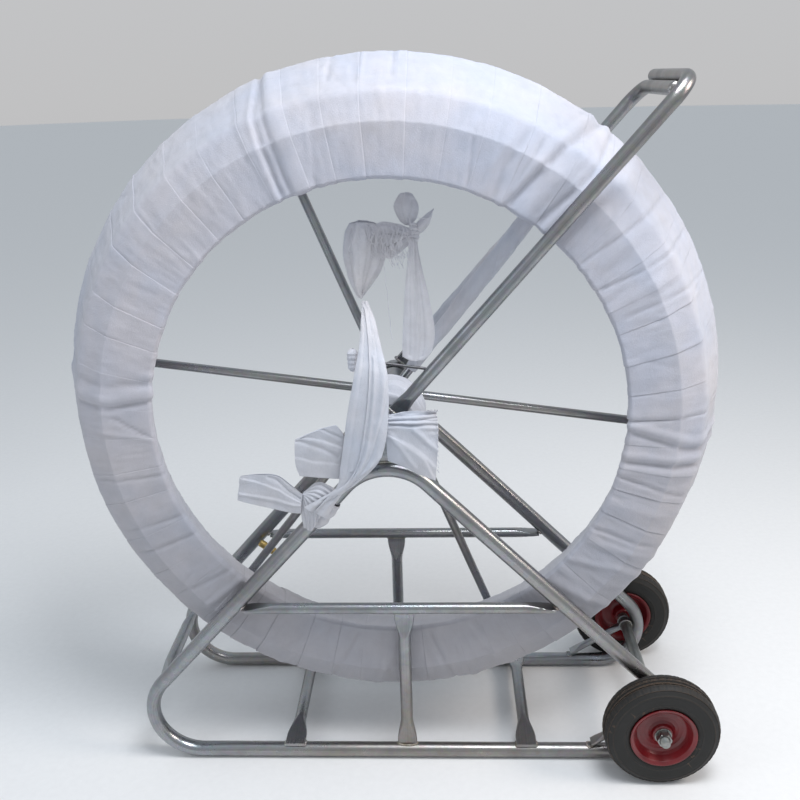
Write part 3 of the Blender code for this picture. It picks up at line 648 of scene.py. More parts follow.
def studio():
    world = bpy.data.worlds.new("studio")
    bpy.context.scene.world = world
    world.use_nodes = True
    tree = world.node_tree
    back = tree.nodes["Background"]
    place = tree.nodes.new("ShaderNodeTexCoord")
    split = tree.nodes.new("ShaderNodeSeparateXYZ")
    ramp = tree.nodes.new("ShaderNodeValToRGB")
    span = tree.nodes.new("ShaderNodeMapRange")
    span.inputs["From Min"].default_value = -1.0
    tree.links.new(place.outputs["Generated"], split.inputs[0])
    tree.links.new(split.outputs["Z"], span.inputs["Value"])
    tree.links.new(span.outputs["Result"], ramp.inputs["Fac"])
    stops = [(0.0, (0.30, 0.28, 0.26)), (0.49, (0.86, 0.86, 0.87)), (0.56, (0.88, 0.89, 0.91)),
             (1.0, (0.80, 0.90, 1.0))]
    for _ in stops[2:]:
        ramp.color_ramp.elements.new(0.5)
    for element, (where, colour) in zip(ramp.color_ramp.elements, stops):
        element.position = where
        element.color = (*colour, 1.0)
    tree.links.new(ramp.outputs["Color"], back.inputs["Color"])
    back.inputs["Strength"].default_value = 0.62
    soft_light("overhead", (0.7, -0.9, 3.3), (0.0, 0.0, 0.9), (1.3, 1.1), 60.0, (0.93, 0.96, 1.0))
    soft_light("warm_side", (2.9, -0.6, 2.4), (0.3, 0.0, 0.9), (1.0, 1.0), 36.0, (1.0, 0.88, 0.78))
    soft_light("cool_side", (-2.8, -1.8, 2.2), (0.0, 0.0, 0.8), (1.0, 1.2), 8.0, (0.84, 0.92, 1.0))
    ring = [(40.0 * math.cos(TAU * k / 64), 40.0 * math.sin(TAU * k / 64), 0.0) for k in range(64)]
    mesh = bpy.data.meshes.new("floor")
    mesh.from_pydata(ring, [], [list(range(64))])
    n = Nodes("pale_floor")
    grain = n.noise(n.coords("Object"), 60.0, 4.0, 0.6)
    tone = n.ramp(grain, [(0.3, (0.80, 0.80, 0.80)), (0.7, (0.83, 0.83, 0.83))])
    mesh.materials.append(n.finish(tone, n.span(grain, 0.3, 0.7, 0.85, 0.95), grain, 0.0004, 0.2))
    floor = bpy.data.objects.new("floor", mesh)
    floor.location.z = -0.0005
    bpy.context.collection.objects.link(floor)
    bpy.context.scene.view_settings.view_transform = "Standard"


look()
studio()


# --- side loops, braces, posts, stays --------------------------------------------------------------
left_arc, left_centre = round_corner(APEX, LEFT_FOOT, RIGHT_FOOT, NOSE_R, 26)
right_arc, right_centre = round_corner(LEFT_FOOT, RIGHT_FOOT, APEX, HEEL_R, 26)
apex_arc, apex_centre = round_corner(RIGHT_FOOT, APEX, LEFT_FOOT, APEX_R, 20)
outline = np.vstack([left_arc, right_arc, apex_arc])
SIDES = (("front", -1), ("back", 1))
stand_welds = []
reel_welds = []


def in_plane(points, y):
    points = np.asarray(points, float)
    return np.stack([points[:, 0], np.full(len(points), y), points[:, 1]], 1)


def around(end, wide, thin, half_wide, half_thin, axis_point, axis_dir, tube_r, r=0.0026, seed=1):
    """Weld bead round a pressed end where it meets a tube."""
    loop = ellipse(end, unit(wide) * (half_wide + 0.5 * r), unit(thin) * (half_thin + 0.8 * r))
    loop = onto_tube(loop, axis_point, axis_dir, tube_r + 0.2 * r)
    stand_welds.append(bead(loop, r, closed=True, seed=seed))


def bend_squeeze(path):
    """Bends of the loops are pressed a little oval, most where the bend starts."""
    middle = np.zeros(len(path))
    for centre, radius, amount in ((left_centre, NOSE_R, 0.07), (right_centre, HEEL_R, 0.06),
                                   (apex_centre, APEX_R, 0.05)):
        out = np.hypot(path[:, 0] - centre[0], path[:, 2] - centre[1])
        near = out < radius * 1.04
        middle = np.maximum(middle, amount * near * bump(np.abs(out - radius), 0.01))
    for _ in range(4):
        middle = (middle + np.roll(middle, 1) + np.roll(middle, -1)) / 3
    return middle


for side_name, sign in SIDES:
    y = sign * FRAME_Y
    loop = fine_path(np.vstack([in_plane(outline, y), in_plane(outline[:1], y)]), 0.022)[:-1]
    stand_tube("loop_tube_" + side_name,
               tube_data(loop, Y_AXIS, TUBE_R, 36, closed=True, oval=bend_squeeze(loop)),
               "frame_loop_" + side_name)
    strut_left = unit(np.array((APEX[0] - LEFT_FOOT[0], 0, APEX[1] - RUN_Z)))
    strut_right = unit(np.array((APEX[0] - RIGHT_FOOT[0], 0, APEX[1] - RUN_Z)))
    reach = TUBE_R / math.cos(math.radians(43.0)) + 0.0045
    a = np.array((strut_x(BRACE_Z, True) + reach, y, BRACE_Z))
    b = np.array((strut_x(BRACE_Z, False) - reach, y, BRACE_Z))
    span = np.linalg.norm(b - a)
    stations = np.concatenate([np.linspace(0, 0.075, 26), np.linspace(0.09, 0.5, 6)]) / span
    stations = np.concatenate([stations[stations < 0.5], 1 - stations[stations < 0.5][::-1]])
    press = (0.0165, 0.0030, 0.004, 0.062)
    brace = a + (b - a) * stations[:, None]
    stand_tube("brace_tube_" + side_name,
               tube_data(brace, Y_AXIS, BRACE_R, 32, start=press, end=press, wide_side=False),
               "brace_" + side_name)
    for end, foot, direction in ((a, LEFT_FOOT, strut_left), (b, RIGHT_FOOT, strut_right)):
        point = np.array((foot[0], y, foot[1]))
        around(end, Y_AXIS, (0, 0, 1), 0.0155, 0.0035, point, direction, TUBE_R, 0.0028, seed=3 + sign)

    x = POST_X[sign]
    low, high = TOP_OF_RUN + 0.0003, BRACE_Z - BRACE_R * math.cos(math.pi / 12) - 0.0003
    zs = np.concatenate([np.linspace(low, low + 0.075, 24), np.linspace(low + 0.10, high - 0.085, 8),
                         np.linspace(high - 0.065, high, 22)])
    post = np.stack([np.full(len(zs), x), np.full(len(zs), y), zs], 1)
    foot_press, head_press = (0.0225, 0.0038, 0.012, 0.060), (0.0225, 0.0038, 0.008, 0.052)
    stand_tube("post_tube_" + side_name,
               tube_data(post, Y_AXIS, POST_R, 32, start=foot_press, end=head_press), "post_" + side_name)
    around((x, y, low), (1, 0, 0), Y_AXIS, 0.0215, 0.0042, (0, y, RUN_Z), (1, 0, 0), TUBE_R, 0.0030,
           seed=7 + sign)
    around((x, y, high), (1, 0, 0), Y_AXIS, 0.0215, 0.0042, (0, y, BRACE_Z), (1, 0, 0), BRACE_R, 0.0026,
           seed=11 + sign)

    foot = np.array((STAY_FOOT_X, y, TOP_OF_RUN + 0.0063))
    axle_mid = np.array((AXLE["front"][0], y, AXLE["front"][2]))
    lean = unit(axle_mid - foot)
    head = axle_mid - lean * (AXLE_R + 0.001)
    length = np.linalg.norm(head - foot)
    ss = np.concatenate([np.linspace(0, 0.045, 16), np.linspace(0.055, length - 0.035, 6),
                         np.linspace(length - 0.028, length, 10)])
    foot_press, head_press = (0.0135, 0.0030, 0.006, 0.034), (0.0112, 0.0060, 0.003, 0.022)
    stand_tube("stay_tube_" + side_name,
               tube_data(foot + lean * ss[:, None], np.cross(lean, Y_AXIS), STAY_R, 28, start=foot_press,
                         end=head_press),
               "axle_stay_" + side_name)
    around(foot - lean * 0.004, Y_AXIS, (1, 0, 0), 0.0125, 0.0045, (0, y, RUN_Z), (1, 0, 0), TUBE_R, 0.0024,
           seed=15 + sign)
    around(head, Y_AXIS, np.cross(lean, Y_AXIS), 0.0105, 0.0062, axle_mid, Y_AXIS, AXLE_R, 0.0022,
           seed=19 + sign)
    for inner in (-1, 1):
        ring = ellipse(axle_mid + Y_AXIS * inner * 0.011, (AXLE_R + 0.002, 0, 0), (0, 0, AXLE_R + 0.002))
        stand_welds.append(bead(ring, 0.0026, closed=True, seed=23 + inner))

# Cross tubes of the base and the nose, pressed flat where they lie on the loops.
ys = np.concatenate([np.linspace(0, 0.094, 34), np.linspace(0.105, 0.192, 6)])
cross = np.concatenate([-0.192 + ys, (0.192 - ys[:-1])[::-1]])
bar_flat = 0.0036
for bar_name, bar_x in BASE_BARS.items():
    bar_z = TOP_OF_RUN + 0.0003 + bar_flat
    bar = np.stack([np.full(len(cross), bar_x), cross, np.full(len(cross), bar_z)], 1)
    press = (0.0235, bar_flat, 0.030, 0.062)
    stand_tube("base_tube_" + bar_name,
               tube_data(bar, (1, 0, 0), BASE_BAR_R, 36, start=press, end=press, wide_side=False),
               "base_bar_" + bar_name)
    for _, sign in SIDES:
        for edge in (-1, 1):
            line = [(bar_x + edge * 0.0235, sign * FRAME_Y + t, bar_z)
                    for t in np.linspace(-0.013, 0.013, 12)]
            on = onto_tube(line, (0, sign * FRAME_Y, RUN_Z), (1, 0, 0), TUBE_R + 0.0006)
            stand_welds.append(bead(on, 0.0030, seed=31 + edge + sign))
nose_dir = np.array((math.cos(NOSE_BAR_ANGLE), 0, math.sin(NOSE_BAR_ANGLE)))
nose_mid = np.array((left_centre[0], 0, left_centre[1])) + nose_dir * NOSE_R
nose_ys = np.unique(np.clip(cross, -0.1626, 0.1626))
press = (0.0205, bar_flat, 0.026, 0.054)
nose_across = np.array((-nose_dir[2], 0, nose_dir[0]))
nose_path = nose_mid + Y_AXIS * nose_ys[:, None]
stand_tube("nose_tube",
           tube_data(nose_path, nose_across, BASE_BAR_R, 36, start=press, end=press, wide_side=False),
           "nose_bar")
for _, sign in SIDES:
    for edge in (-1, 1):
        turn = NOSE_BAR_ANGLE + np.linspace(-0.17, 0.17, 16)
        r = NOSE_R + edge * 0.0042
        at = np.stack([left_centre[0] + np.cos(turn) * r, np.full(16, sign * (FRAME_Y - TUBE_R - 0.0012)),
                       left_centre[1] + np.sin(turn) * r], 1)
        stand_welds.append(bead(at, 0.0026, seed=41 + edge + sign))


# --- bearings and handle -------------------------------------------------------------------------
def plate_data(shape, y0, y1, edge=0.0008):
    """Flat plate cut to an (x, z) outline, its edges broken a little."""
    shape = np.asarray(shape, float)
    middle = shape.mean(0)
    small = middle + (shape - middle) * (1 - edge / np.linalg.norm(shape - middle, axis=1, keepdims=True))
    rows = [in_plane(small, y0), in_plane(shape, y0 + edge), in_plane(shape, y1 - edge),
            in_plane(small, y1)]
    return grid_data(rows, wrap_v=True, caps=True)


HOUSING = mm([
    (26, -15), (33, -15), (33, 15), (26, 15), (26, 9), (26.8, 9), (26.8, 8.2), (26, 8.2), (26, -8.2),
    (26.8, -8.2), (26.8, -9), (26, -9),
])
for side_name, sign in SIDES:
    y = sign * FRAME_Y
    lower = arc(apex_centre, APEX_R + TUBE_R + 0.0005, math.radians(70), math.radians(110), 16)
    upper = arc((0.0, HUB_Z), HOUSING_R + 0.0003, math.radians(210), math.radians(330), 24)
    piece("plate_" + side_name, plate_data(np.vstack([lower, upper]), y - PLATE_T / 2, y + PLATE_T / 2),
          CAST, "stand", ["bearing_plate_" + side_name], sharp=30)
    section = rounded(HOUSING, [0.0012, 0.002, 0.002, 0.0012] + [0] * 8)
    turned("housing_" + side_name, section, (0, y, HUB_Z), 64, CAST, "stand", "galvanised",
           "bearing_housing_" + side_name)
    for face in (-1, 1):
        seat = arc((0.0, HUB_Z), HOUSING_R + 0.0008, math.radians(214), math.radians(326), 30)
        stand_welds.append(bead(in_plane(seat, y + face * (PLATE_T / 2 + 0.0012)), 0.0024, seed=51 + face))
        seat = arc(apex_centre, APEX_R + TUBE_R + 0.0008, math.radians(72), math.radians(108), 30)
        stand_welds.append(bead(in_plane(seat, y + face * (PLATE_T / 2 + 0.0012)), 0.0026, seed=55 + face))
    y0, y1 = sorted(sign * (FRAME_Y + HOUSING_HALF + step) for step in (0.001, 0.014))
    bore = SHAFT_R + 0.0003
    section = rounded([(bore, y0), (0.0215, y0), (0.0215, y1), (bore, y1)], 0.0012)
    turned("collar_" + side_name, section, (0, 0, HUB_Z), 56, STEEL, "reel", "steel",
           "shaft_collar_" + side_name)

slope = unit(HANDLE_TOP - HANDLE_FOOT)
flat_normal = np.cross(slope, Y_AXIS)
for side_name, sign in SIDES:
    top = HANDLE_TOP - slope * (BAR_PITCH if sign > 0 else 0.0)
    out = Y_AXIS * sign * FRAME_Y
    along = -Y_AXIS * sign
    bend_start = top - slope * HANDLE_BEND_R
    straight = np.linalg.norm(bend_start - HANDLE_FOOT)
    ss = np.concatenate([np.linspace(0, 0.055, 20), np.linspace(0.075, straight - 0.01, 26)])
    path = [HANDLE_FOOT + out + slope * s for s in ss]
    centre = bend_start + out + along * HANDLE_BEND_R
    turn = np.linspace(0, math.pi / 2, 22)
    path += [centre - along * HANDLE_BEND_R * math.cos(t) + slope * HANDLE_BEND_R * math.sin(t)
             for t in turn]
    bar_end = 0.160 if sign < 0 else -0.126
    bar = np.linspace(path[-1][1], bar_end, 14)[1:-1]
    tail = np.concatenate([bar, bar_end - along[1] * mm([8.3, 6, 4, 2.2, 1, 0])])
    path += [np.array((top[0], t, top[2])) for t in tail]
    path = np.array(path)
    squeeze = np.array([0.06 * bump(max(0.0, abs(k - 57) - 8), 6) for k in range(len(path))])
    stand_tube("handle_tube_" + side_name,
               tube_data(path, flat_normal, HANDLE_R, 36, start=(0.0178, 0.0052, 0.018, 0.030),
                         oval=squeeze, dome=("end",), wide_side=False),
               "handle_" + side_name)
    ring = ellipse(HANDLE_FOOT + out + slope * 0.001, flat_normal * 0.0190, Y_AXIS * 0.0066)
    stand_welds.append(bead(ring, 0.0034, closed=True, seed=61 + sign))

# --- axle and wheels -----------------------------------------------------------------------------
shoulder = AXLE["back"][1] - 0.0305
thread_start, axle_end = 0.262, 0.298
profile = [(0.0, -axle_end), (STUB_R - 0.0016, -axle_end), (STUB_R, -axle_end + 0.0016)]
pitch = 0.002
turns = int((axle_end - thread_start - 0.002) / pitch)
for k in range(turns):
    y = -axle_end + 0.002 + k * pitch
    profile += [(STUB_R, y), (STUB_R - 0.0010, y + pitch * 0.5)]
profile += [(STUB_R, -thread_start), (STUB_R, -shoulder), (AXLE_R - 0.001, -shoulder),
            (AXLE_R, -shoulder + 0.001)]
profile += [(r, -y) for r, y in profile[::-1]]
axle_profile = [(max(r, 0.0002), y) for r, y in profile]
turned("axle_bar", axle_profile, (AXLE["front"][0], 0, AXLE["front"][2]), 40, STEEL, "stand", "galvanised",
       "axle", 35, closed_profile=False)

tyre_outline = rounded(mm([
    (73, -27), (76, -30.5), (80, -32.2), (84, -32.6), (85.2, -33.6), (87.2, -33.6), (88.4, -33.4),
    (104, -34.6), (108.5, -33.8), (109.5, -34.3), (112, -34), (113.2, -32.6), (118, -29.8),
    (120.6, -27.6), (121.8, -28.6), (123.2, -27), (126.2, -20), (127, -15), (127, -12.8), (124.2, -12.2),
    (124.2, -9.8), (127, -9.2), (127, -2.2), (124.2, -1.8), (124.2, 1.8), (127, 2.2),
]), 0.0007, closed=False, steps=2)
mirror = [(r, -y) for r, y in tyre_outline[::-1]]
groove = mm([(127, 9.2), (124.2, 9.8), (124.2, 12.2), (127, 12.8)])
tyre_outline = np.vstack([tyre_outline[:-1], groove, [p for p in mirror if p[1] > 0.0140]])
WASHER = rounded(mm([(10.4, 22.3), (19, 22.3), (19, 25.2), (10.4, 25.2)]), 0.0006)
NUT = mm([(10.3, 25.6), (15.5, 25.6), (17.4, 26.6), (17.4, 33), (17.4, 39.8), (15.6, 41.6), (12.2, 41.6),
          (10.6, 40.4)])
TREAD_BLOCKS = 44


def hexagon(angle, r, y):
    """Six flats, where the nut is wider than its turned end faces."""
    fold = (angle % (math.pi / 3)) - math.pi / 6
    return np.where(r > 0.0125, np.minimum(r, 0.0148 / np.cos(fold)), r), y


def tread(angle, r, y):
    """Side cuts across the tread blocks."""
    edge = smoothstep(0.0110, 0.0135, np.abs(y)) * smoothstep(0.1150, 0.1215, r)
    cut = smoothstep(0.55, 0.85, np.cos(angle * TREAD_BLOCKS + np.sign(y) * 1.2 + np.abs(y) * 40.0))
    middle = smoothstep(0.1255, 0.1268, r) * (np.abs(y) < 0.0110)
    zigzag = smoothstep(0.72, 0.92, np.cos(angle * TREAD_BLOCKS + y * 260.0))
    return r - 0.0006 * edge * cut - 0.0016 * middle * zigzag, y


rim_outline = rounded(mm([
    (10.3, -30), (18.6, -30), (20, -28.5), (20.6, -14), (23, -6.2), (30, -3), (43, -1.2), (51, -3),
    (56, -8.5), (61, -24), (64.5, -31.2), (69, -33), (72.2, -34.5), (73.7, -33.3), (72.6, -30),
    (71.2, -24), (71.2, 24), (72.6, 30), (73.7, 33.3), (72.2, 34.5), (69, 33.3), (64, 29.6), (58.5, 15),
    (54.5, 8.5), (48, 6.2), (38, 7), (30, 9.5), (25, 14), (22.5, 20), (21.2, 21.6), (19, 22.2),
    (10.3, 22.2),
]), 0.0024, steps=3)
for side_name, sign in SIDES:
    centre = AXLE[side_name]
    body = "wheel_" + side_name
    flip = np.array((1, sign))
    turned("tyre_rubber_" + side_name, tyre_outline * flip, centre, 352, RUBBER, body, "tyre_rubber",
           "tyre_" + side_name, 32, wobble=tread)
    turned("rim_disc_" + side_name, rim_outline * flip, centre, 96, RED, body, "red_paint",
           "rim_" + side_name)
    turned("washer_" + side_name, WASHER * flip, centre, 64, STEEL, "stand", "steel",
           "wheel_washer_" + side_name)
    turned("nut_" + side_name, NUT * flip, centre, 96, STEEL, "stand", "steel",
           "wheel_nut_" + side_name, 28, wobble=hexagon)

# --- reel: shaft, barrel, spokes ----------------------------------------------------------------
shaft = [(0.0002, -SHAFT_HALF), (0.0040, -SHAFT_HALF), (0.0046, -SHAFT_HALF + 0.0040),
         (0.0052, -SHAFT_HALF), (SHAFT_R - 0.0012, -SHAFT_HALF), (SHAFT_R, -SHAFT_HALF + 0.0012)]
shaft += [(SHAFT_R, y) for y in np.linspace(-SHAFT_HALF + 0.02, -0.02, 8)]
shaft += [(r, -y) for r, y in shaft[::-1]]
turned("shaft_bar", shaft, (0, 0, HUB_Z), 48, STEEL, "reel", "steel", "reel_shaft", 35,
       closed_profile=False)
barrel = rounded(mm([(12.9, -145), (34, -145), (34, 130), (12.9, 130)]), 0.0016)
turned("barrel_tube", barrel, (0, 0, HUB_Z), 64, CAST, "reel", "galvanised", "hub_barrel")


def polar(r, y, a):
    return np.array((r * math.cos(a), y, HUB_Z + r * math.sin(a)))


for k, a in enumerate(SPOKES):
    across = (-math.sin(a), 0.0, math.cos(a))
    line = np.array([polar(r, SPOKE_Y, a) for r in np.linspace(BARREL_R + 0.0003, SPOKE_END, 30)])
    piece("spoke_tube_%d" % (k + 1), tube_data(line, across, SPOKE_R, 32), TUBE, "reel",
          ["spoke_%d" % (k + 1)])
    ring = ellipse(polar(BARREL_R, SPOKE_Y, a), np.array(across) * 0.0112, Y_AXIS * 0.0112)
    ring = onto_tube(ring, (0, 0, HUB_Z), Y_AXIS, BARREL_R + 0.0010)
    reel_welds.append(bead(ring, 0.0024, closed=True, seed=70 + k))

piece("stand_welds", merge(stand_welds), WELD, "stand", sharp=0)
piece("reel_welds", merge(reel_welds), WELD, "reel", sharp=0)


# --- binding round the rim -----------------------------------------------------------------------
RING_SECTION = mm([
    (599, 56), (584.4, 37), (529, -59), (501, -145), (506, -154), (608, -156), (664, -130), (692, -62),
     (721, 0), (737, 45), (730, 68), (608, 69), (590, 43.5), (576, 19),
])
RING_CORNERS = [0, 0.020, 0.060, 0.006, 0.006, 0.010, 0.026, 0.040, 0.050, 0.016, 0.010, 0.008, 0.02, 0]
# Folds of the cloth: (degrees, radius in mm) along each, its height and width in mm, and its kind.
RING_FOLDS = [
    ([(114.5, 735), (114.7, 633), (114, 505)], 2.2, 9, "step"),
    ([(110.4, 735), (111.6, 614), (112.2, 505)], -5, 7, "ridge"),
    ([(110.9, 735), (112.6, 614), (113.2, 505)], 3, 5, "ridge"),
    ([(109, 735), (107.8, 615), (107.6, 505)], 5, 14, "ridge"),
    ([(110, 735), (109.9, 615), (110, 505)], -3.6, 8, "ridge"),
    ([(102.2, 640), (103.4, 560), (104.7, 505)], -2, 6, "step"),
    ([(98, 735), (98.5, 690)], -2.2, 5, "ridge"),
    ([(93, 735), (93.2, 680)], 1.6, 5, "ridge"),
    ([(88, 735), (88, 690)], -1.8, 4, "ridge"),
    ([(72.6, 600), (70.7, 505)], -1.6, 4, "ridge"),
    ([(66.5, 625), (67.5, 570), (67, 505)], 3, 10, "ridge"),
    ([(64, 640), (65, 570), (64.6, 505)], -2.2, 8, "ridge"),
    ([(61.1, 640), (62.1, 505)], -2.2, 5, "ridge"),
    ([(52.3, 735), (58, 620), (61.3, 500)], -5, 8, "ridge"),
    ([(54.3, 735), (59.6, 620), (62.6, 500)], 4, 10, "ridge"),
    ([(51.2, 735), (54.6, 630), (57.6, 500)], 4.2, 12, "ridge"),
    ([(50.1, 735), (50.8, 634), (53.4, 500)], -3.8, 7, "ridge"),
    ([(49.6, 690), (49.8, 610), (51.2, 500)], 3.6, 9, "ridge"),
    ([(48.8, 660), (48.6, 580), (49.4, 500)], -4, 7, "ridge"),
    ([(44, 735), (45, 640), (45.6, 505)], 2.2, 12, "ridge"),
    ([(36.8, 732), (39.1, 644), (40.2, 505)], -2.6, 4, "ridge"),
    ([(36, 700), (37.6, 620), (37, 540)], 2.8, 11, "ridge"),
    ([(30.1, 730), (31.4, 604), (32.7, 505)], -2.4, 4, "ridge"),
    ([(27.5, 640), (28, 580), (27, 510)], 2.6, 12, "ridge"),
    ([(21.9, 732), (24, 656), (24.5, 540)], -1.8, 4, "ridge"),
    ([(-0.3, 505), (1.2, 735)], -1.8, 4, "ridge"),
    ([(-1.5, 505), (-4.9, 640), (-5.2, 730)], 4.2, 9, "ridge"),
    ([(-3.2, 505), (-6.4, 620), (-7, 700)], -2.8, 7, "ridge"),
    ([(-9, 505), (-8.7, 601), (-7.5, 730)], 4.4, 8, "ridge"),
    ([(-10.8, 505), (-10.4, 582), (-8.8, 715)], -3.4, 7, "ridge"),
    ([(-12.6, 505), (-12, 582), (-11.2, 700)], 2.6, 11, "ridge"),
    ([(-14.8, 505), (-17.5, 700)], -2.2, 4, "ridge"),
    ([(-22, 505), (-21, 640)], 1.8, 10, "ridge"),
    ([(-29.5, 505), (-28, 640)], -2.2, 5, "ridge"),
    ([(-33, 520), (-31, 600), (-30, 690)], 2.6, 10, "ridge"),
    ([(-39.7, 505), (-35.2, 605), (-35, 690)], 3.2, 8, "ridge"),
    ([(-47, 520), (-44, 620), (-43, 690)], 2.4, 9, "ridge"),
    ([(172.9, 720), (174.6, 590), (172.1, 500)], 5, 10, "ridge"),
    ([(175.3, 700), (176.4, 590), (174.1, 500)], -3.4, 7, "ridge"),
    ([(170, 735), (171.5, 600), (169.5, 500)], -2, 9, "ridge"),
    ([(178.4, 580), (183.5, 500)], -2.4, 4, "ridge"),
    ([(181.3, 620), (183.6, 505)], 2, 6, "ridge"),
    ([(191.8, 640), (193.2, 500)], -2, 4, "ridge"),
    ([(203.6, 620), (204.7, 500)], -2.2, 4, "ridge"),
    ([(208.8, 640), (210.6, 500)], -2.4, 4, "ridge"),
    ([(220.3, 620), (223.7, 500)], -2.2, 4, "ridge"),
    ([(226, 600), (227.5, 500)], 4, 7, "ridge"),
    ([(229.5, 580), (229, 500)], -4, 6, "ridge"),
    ([(231.5, 640), (231.5, 500)], 3.4, 8, "ridge"),
    ([(244, 700), (247, 600), (252, 520)], 2.6, 10, "ridge"),
    ([(256, 720), (257.5, 620), (261, 520)], -2.4, 7, "ridge"),
    ([(264, 700), (268, 600), (270.5, 530)], 2.2, 10, "ridge"),
    ([(284, 720), (281.5, 620), (279, 520)], -2.6, 6, "ridge"),
    ([(288, 735), (286, 660)], 3.4, 9, "ridge"),
    ([(296, 700), (292, 600), (290, 520)], 2.6, 9, "ridge"),
]


def resample(line, step):
    """Points along a polyline about a step apart, closer where it turns."""
    line = np.asarray(line, float)
    lengths = np.linalg.norm(np.diff(line, axis=0), axis=1)
    out = [line[0]]
    for a, b, length in zip(line[:-1], line[1:], lengths):
        n = max(1, int(round(length / step)))
        out += [a + (b - a) * k / n for k in range(1, n + 1)]
    return np.array(out)


LAP_ARM = 0.62  # mean radius of the ring, where lengths round it are measured
LAST_LAP_ROOM = math.radians(9.5)  # left free for the last lap
LAP_TURN = (5.6, 9.2)  # degrees from one edge of the strip to the next
LAP_LIFTS = [0.5, 0.9, 1.3, 2.0]  # mm that an edge stands proud
STRAY_CREASES = 330
RING_FOLD_GAIN = 0.00145  # metres of height for each unit in RING_FOLDS


def ring_cloth():
    """The strip wound round the coil: laps, undulation, creases and the large folds."""
    rng = np.random.default_rng(11)
    section = resample(rounded(RING_SECTION, RING_CORNERS, closed=False, steps=5), 0.0085)
    keep = np.concatenate([[True], np.linalg.norm(np.diff(section, axis=0), axis=1) > 0.0006])
    section = section[keep]
    seg = np.linalg.norm(np.diff(section, axis=0), axis=1)
    s = np.concatenate([[0], np.cumsum(seg)])
    total = s[-1]
    tangent = unit(np.gradient(section, s, axis=0))
    normal = np.stack([tangent[:, 1], -tangent[:, 0]], 1)

    # Laps of the strip: where each turn's edge lies, and columns packed round the edges.
    laps = [0.0]
    while laps[-1] < TAU - LAST_LAP_ROOM:
        laps.append(laps[-1] + math.radians(rng.uniform(*LAP_TURN)))
    laps = np.array(laps)
    base = np.arange(0, TAU, math.radians(0.42))
    around_edge = np.radians([-0.24, -0.10, -0.02, 0.05, 0.14, 0.30])
    near = (laps[:, None] + around_edge).ravel() % TAU
    gap = np.abs(short_way(base[:, None] - near[None])).min(1)
    columns = np.sort(np.concatenate([base[gap > math.radians(0.16)], near]))
    lap = np.searchsorted(laps, columns, side="right") - 1
    lap_turn = np.append(laps[1:], TAU)[lap] - laps[lap]
    t = (columns - laps[lap]) / lap_turn
    lift = np.array([rng.choice(LAP_LIFTS, p=[0.25, 0.35, 0.25, 0.15]) for _ in laps]) * 0.001

    sn = s / total
    turn = columns / TAU
    tilt = 0.10 * noise(turn * 9, 0.3, 5, 9) + 0.05 * noise(turn * 23, 1.7, 6, 23)
    wobble = 0.0012 * noise(s[None, :] / 0.05, lap[:, None] * 1.37, 8)
    near_lap = np.exp(-(np.minimum(t, 1 - t) * lap_turn / math.radians(0.8)) ** 2)
    theta = columns[:, None] + tilt[:, None] * (sn[None, :] - 0.38) + wobble * near_lap[:, None]
    radius = np.repeat(section[None, :, 0], len(columns), 0)

    # Thickness of each lap over the last, and a pinched line at its edge.
    fade = 0.35 + 0.65 * smoothstep(-0.6, 0.5, noise(s[None, :] / 0.09, lap[:, None] * 2.11, 9))
    d = (lift[lap] * (1 - t) ** 1.6)[:, None] * fade
    before = (1 - t) * lap_turn * LAP_ARM
    d = d - (lift[lap] * 0.7 * np.exp(-((before / 0.0035) ** 2)))[:, None] * fade
    # Soft undulation and fine crumple; the fine crumple runs mostly across the ring.
    turn = theta / TAU
    d = d + 0.0016 * fbm(turn * 33 % 33, s[None, :] / 0.13, 21, 2)
    d = d + 0.0011 * fbm(turn * 140 % 140, s[None, :] / 0.085 + 3 * turn, 25, 3)
    d = d + 0.0006 * noise(turn * 480 % 480, s[None, :] / 0.030, 29)
    # Short stray creases.
    for _ in range(STRAY_CREASES):
        c0, s0 = rng.uniform(0, TAU), rng.uniform(0, total)
        lean, long, wide = rng.normal(0, 0.38), rng.uniform(0.018, 0.075), rng.uniform(0.0022, 0.0060)
        height = rng.choice([-1, 1]) * rng.uniform(0.0004, 0.0014)
        window = np.abs(short_way(columns - c0)) < 0.22
        dx = short_way(theta[window] - c0) * radius[window]
        dy = np.repeat((s - s0)[None], window.sum(), 0)
        a, b = dx * math.cos(lean) + dy * math.sin(lean), -dx * math.sin(lean) + dy * math.cos(lean)
        d[window] += height * np.exp(-((a / wide) ** 2) - (b / long) ** 2)
    # Pleats where the strip is crowded at the hole's edge.
    inner = bump(section[:, 0] - 0.505, 0.022) * (section[:, 1] < -0.03)
    d = d + 0.0011 * inner[None] * noise(turn * 210 % 210, s[None, :] / 0.05, 31)

    # The large folds lie on the front and on the shoulder.
    front = np.argmin(np.hypot(section[:, 0] - 0.503, section[:, 1] + 0.152))
    last = np.argmin(np.hypot(section[:, 0] - 0.7355, section[:, 1] - 0.040))
    reach_s = s[front:last + 1]
    reach_r = np.maximum.accumulate(section[front:last + 1, 0] + np.linspace(0, 1e-6, last + 1 - front))
    for points, high, wide, kind in RING_FOLDS:
        pts = np.array(sorted(points, key=lambda p: p[1])) * (1, 0.001)
        at_s = np.interp(pts[:, 1], reach_r, reach_s)
        line = np.interp(s, at_s, np.radians(pts[:, 0]))
        x = short_way(theta - line[None]) * radius
        past_end = smoothstep(at_s[-1] - 0.015, at_s[-1] + 0.035, s)
        ends = smoothstep(at_s[0] - 0.020, at_s[0] + 0.012, s) * (1 - past_end)
        high, wide = high * RING_FOLD_GAIN, wide * 0.001
        if kind == "ridge":
            shape = np.exp(-((x / wide) ** 2))
        else:
            shape = 0.5 * (1 - np.tanh(x / wide * 2)) * np.exp(-np.abs(x) / (5 * wide))
        d = d + high * shape * ends[None]

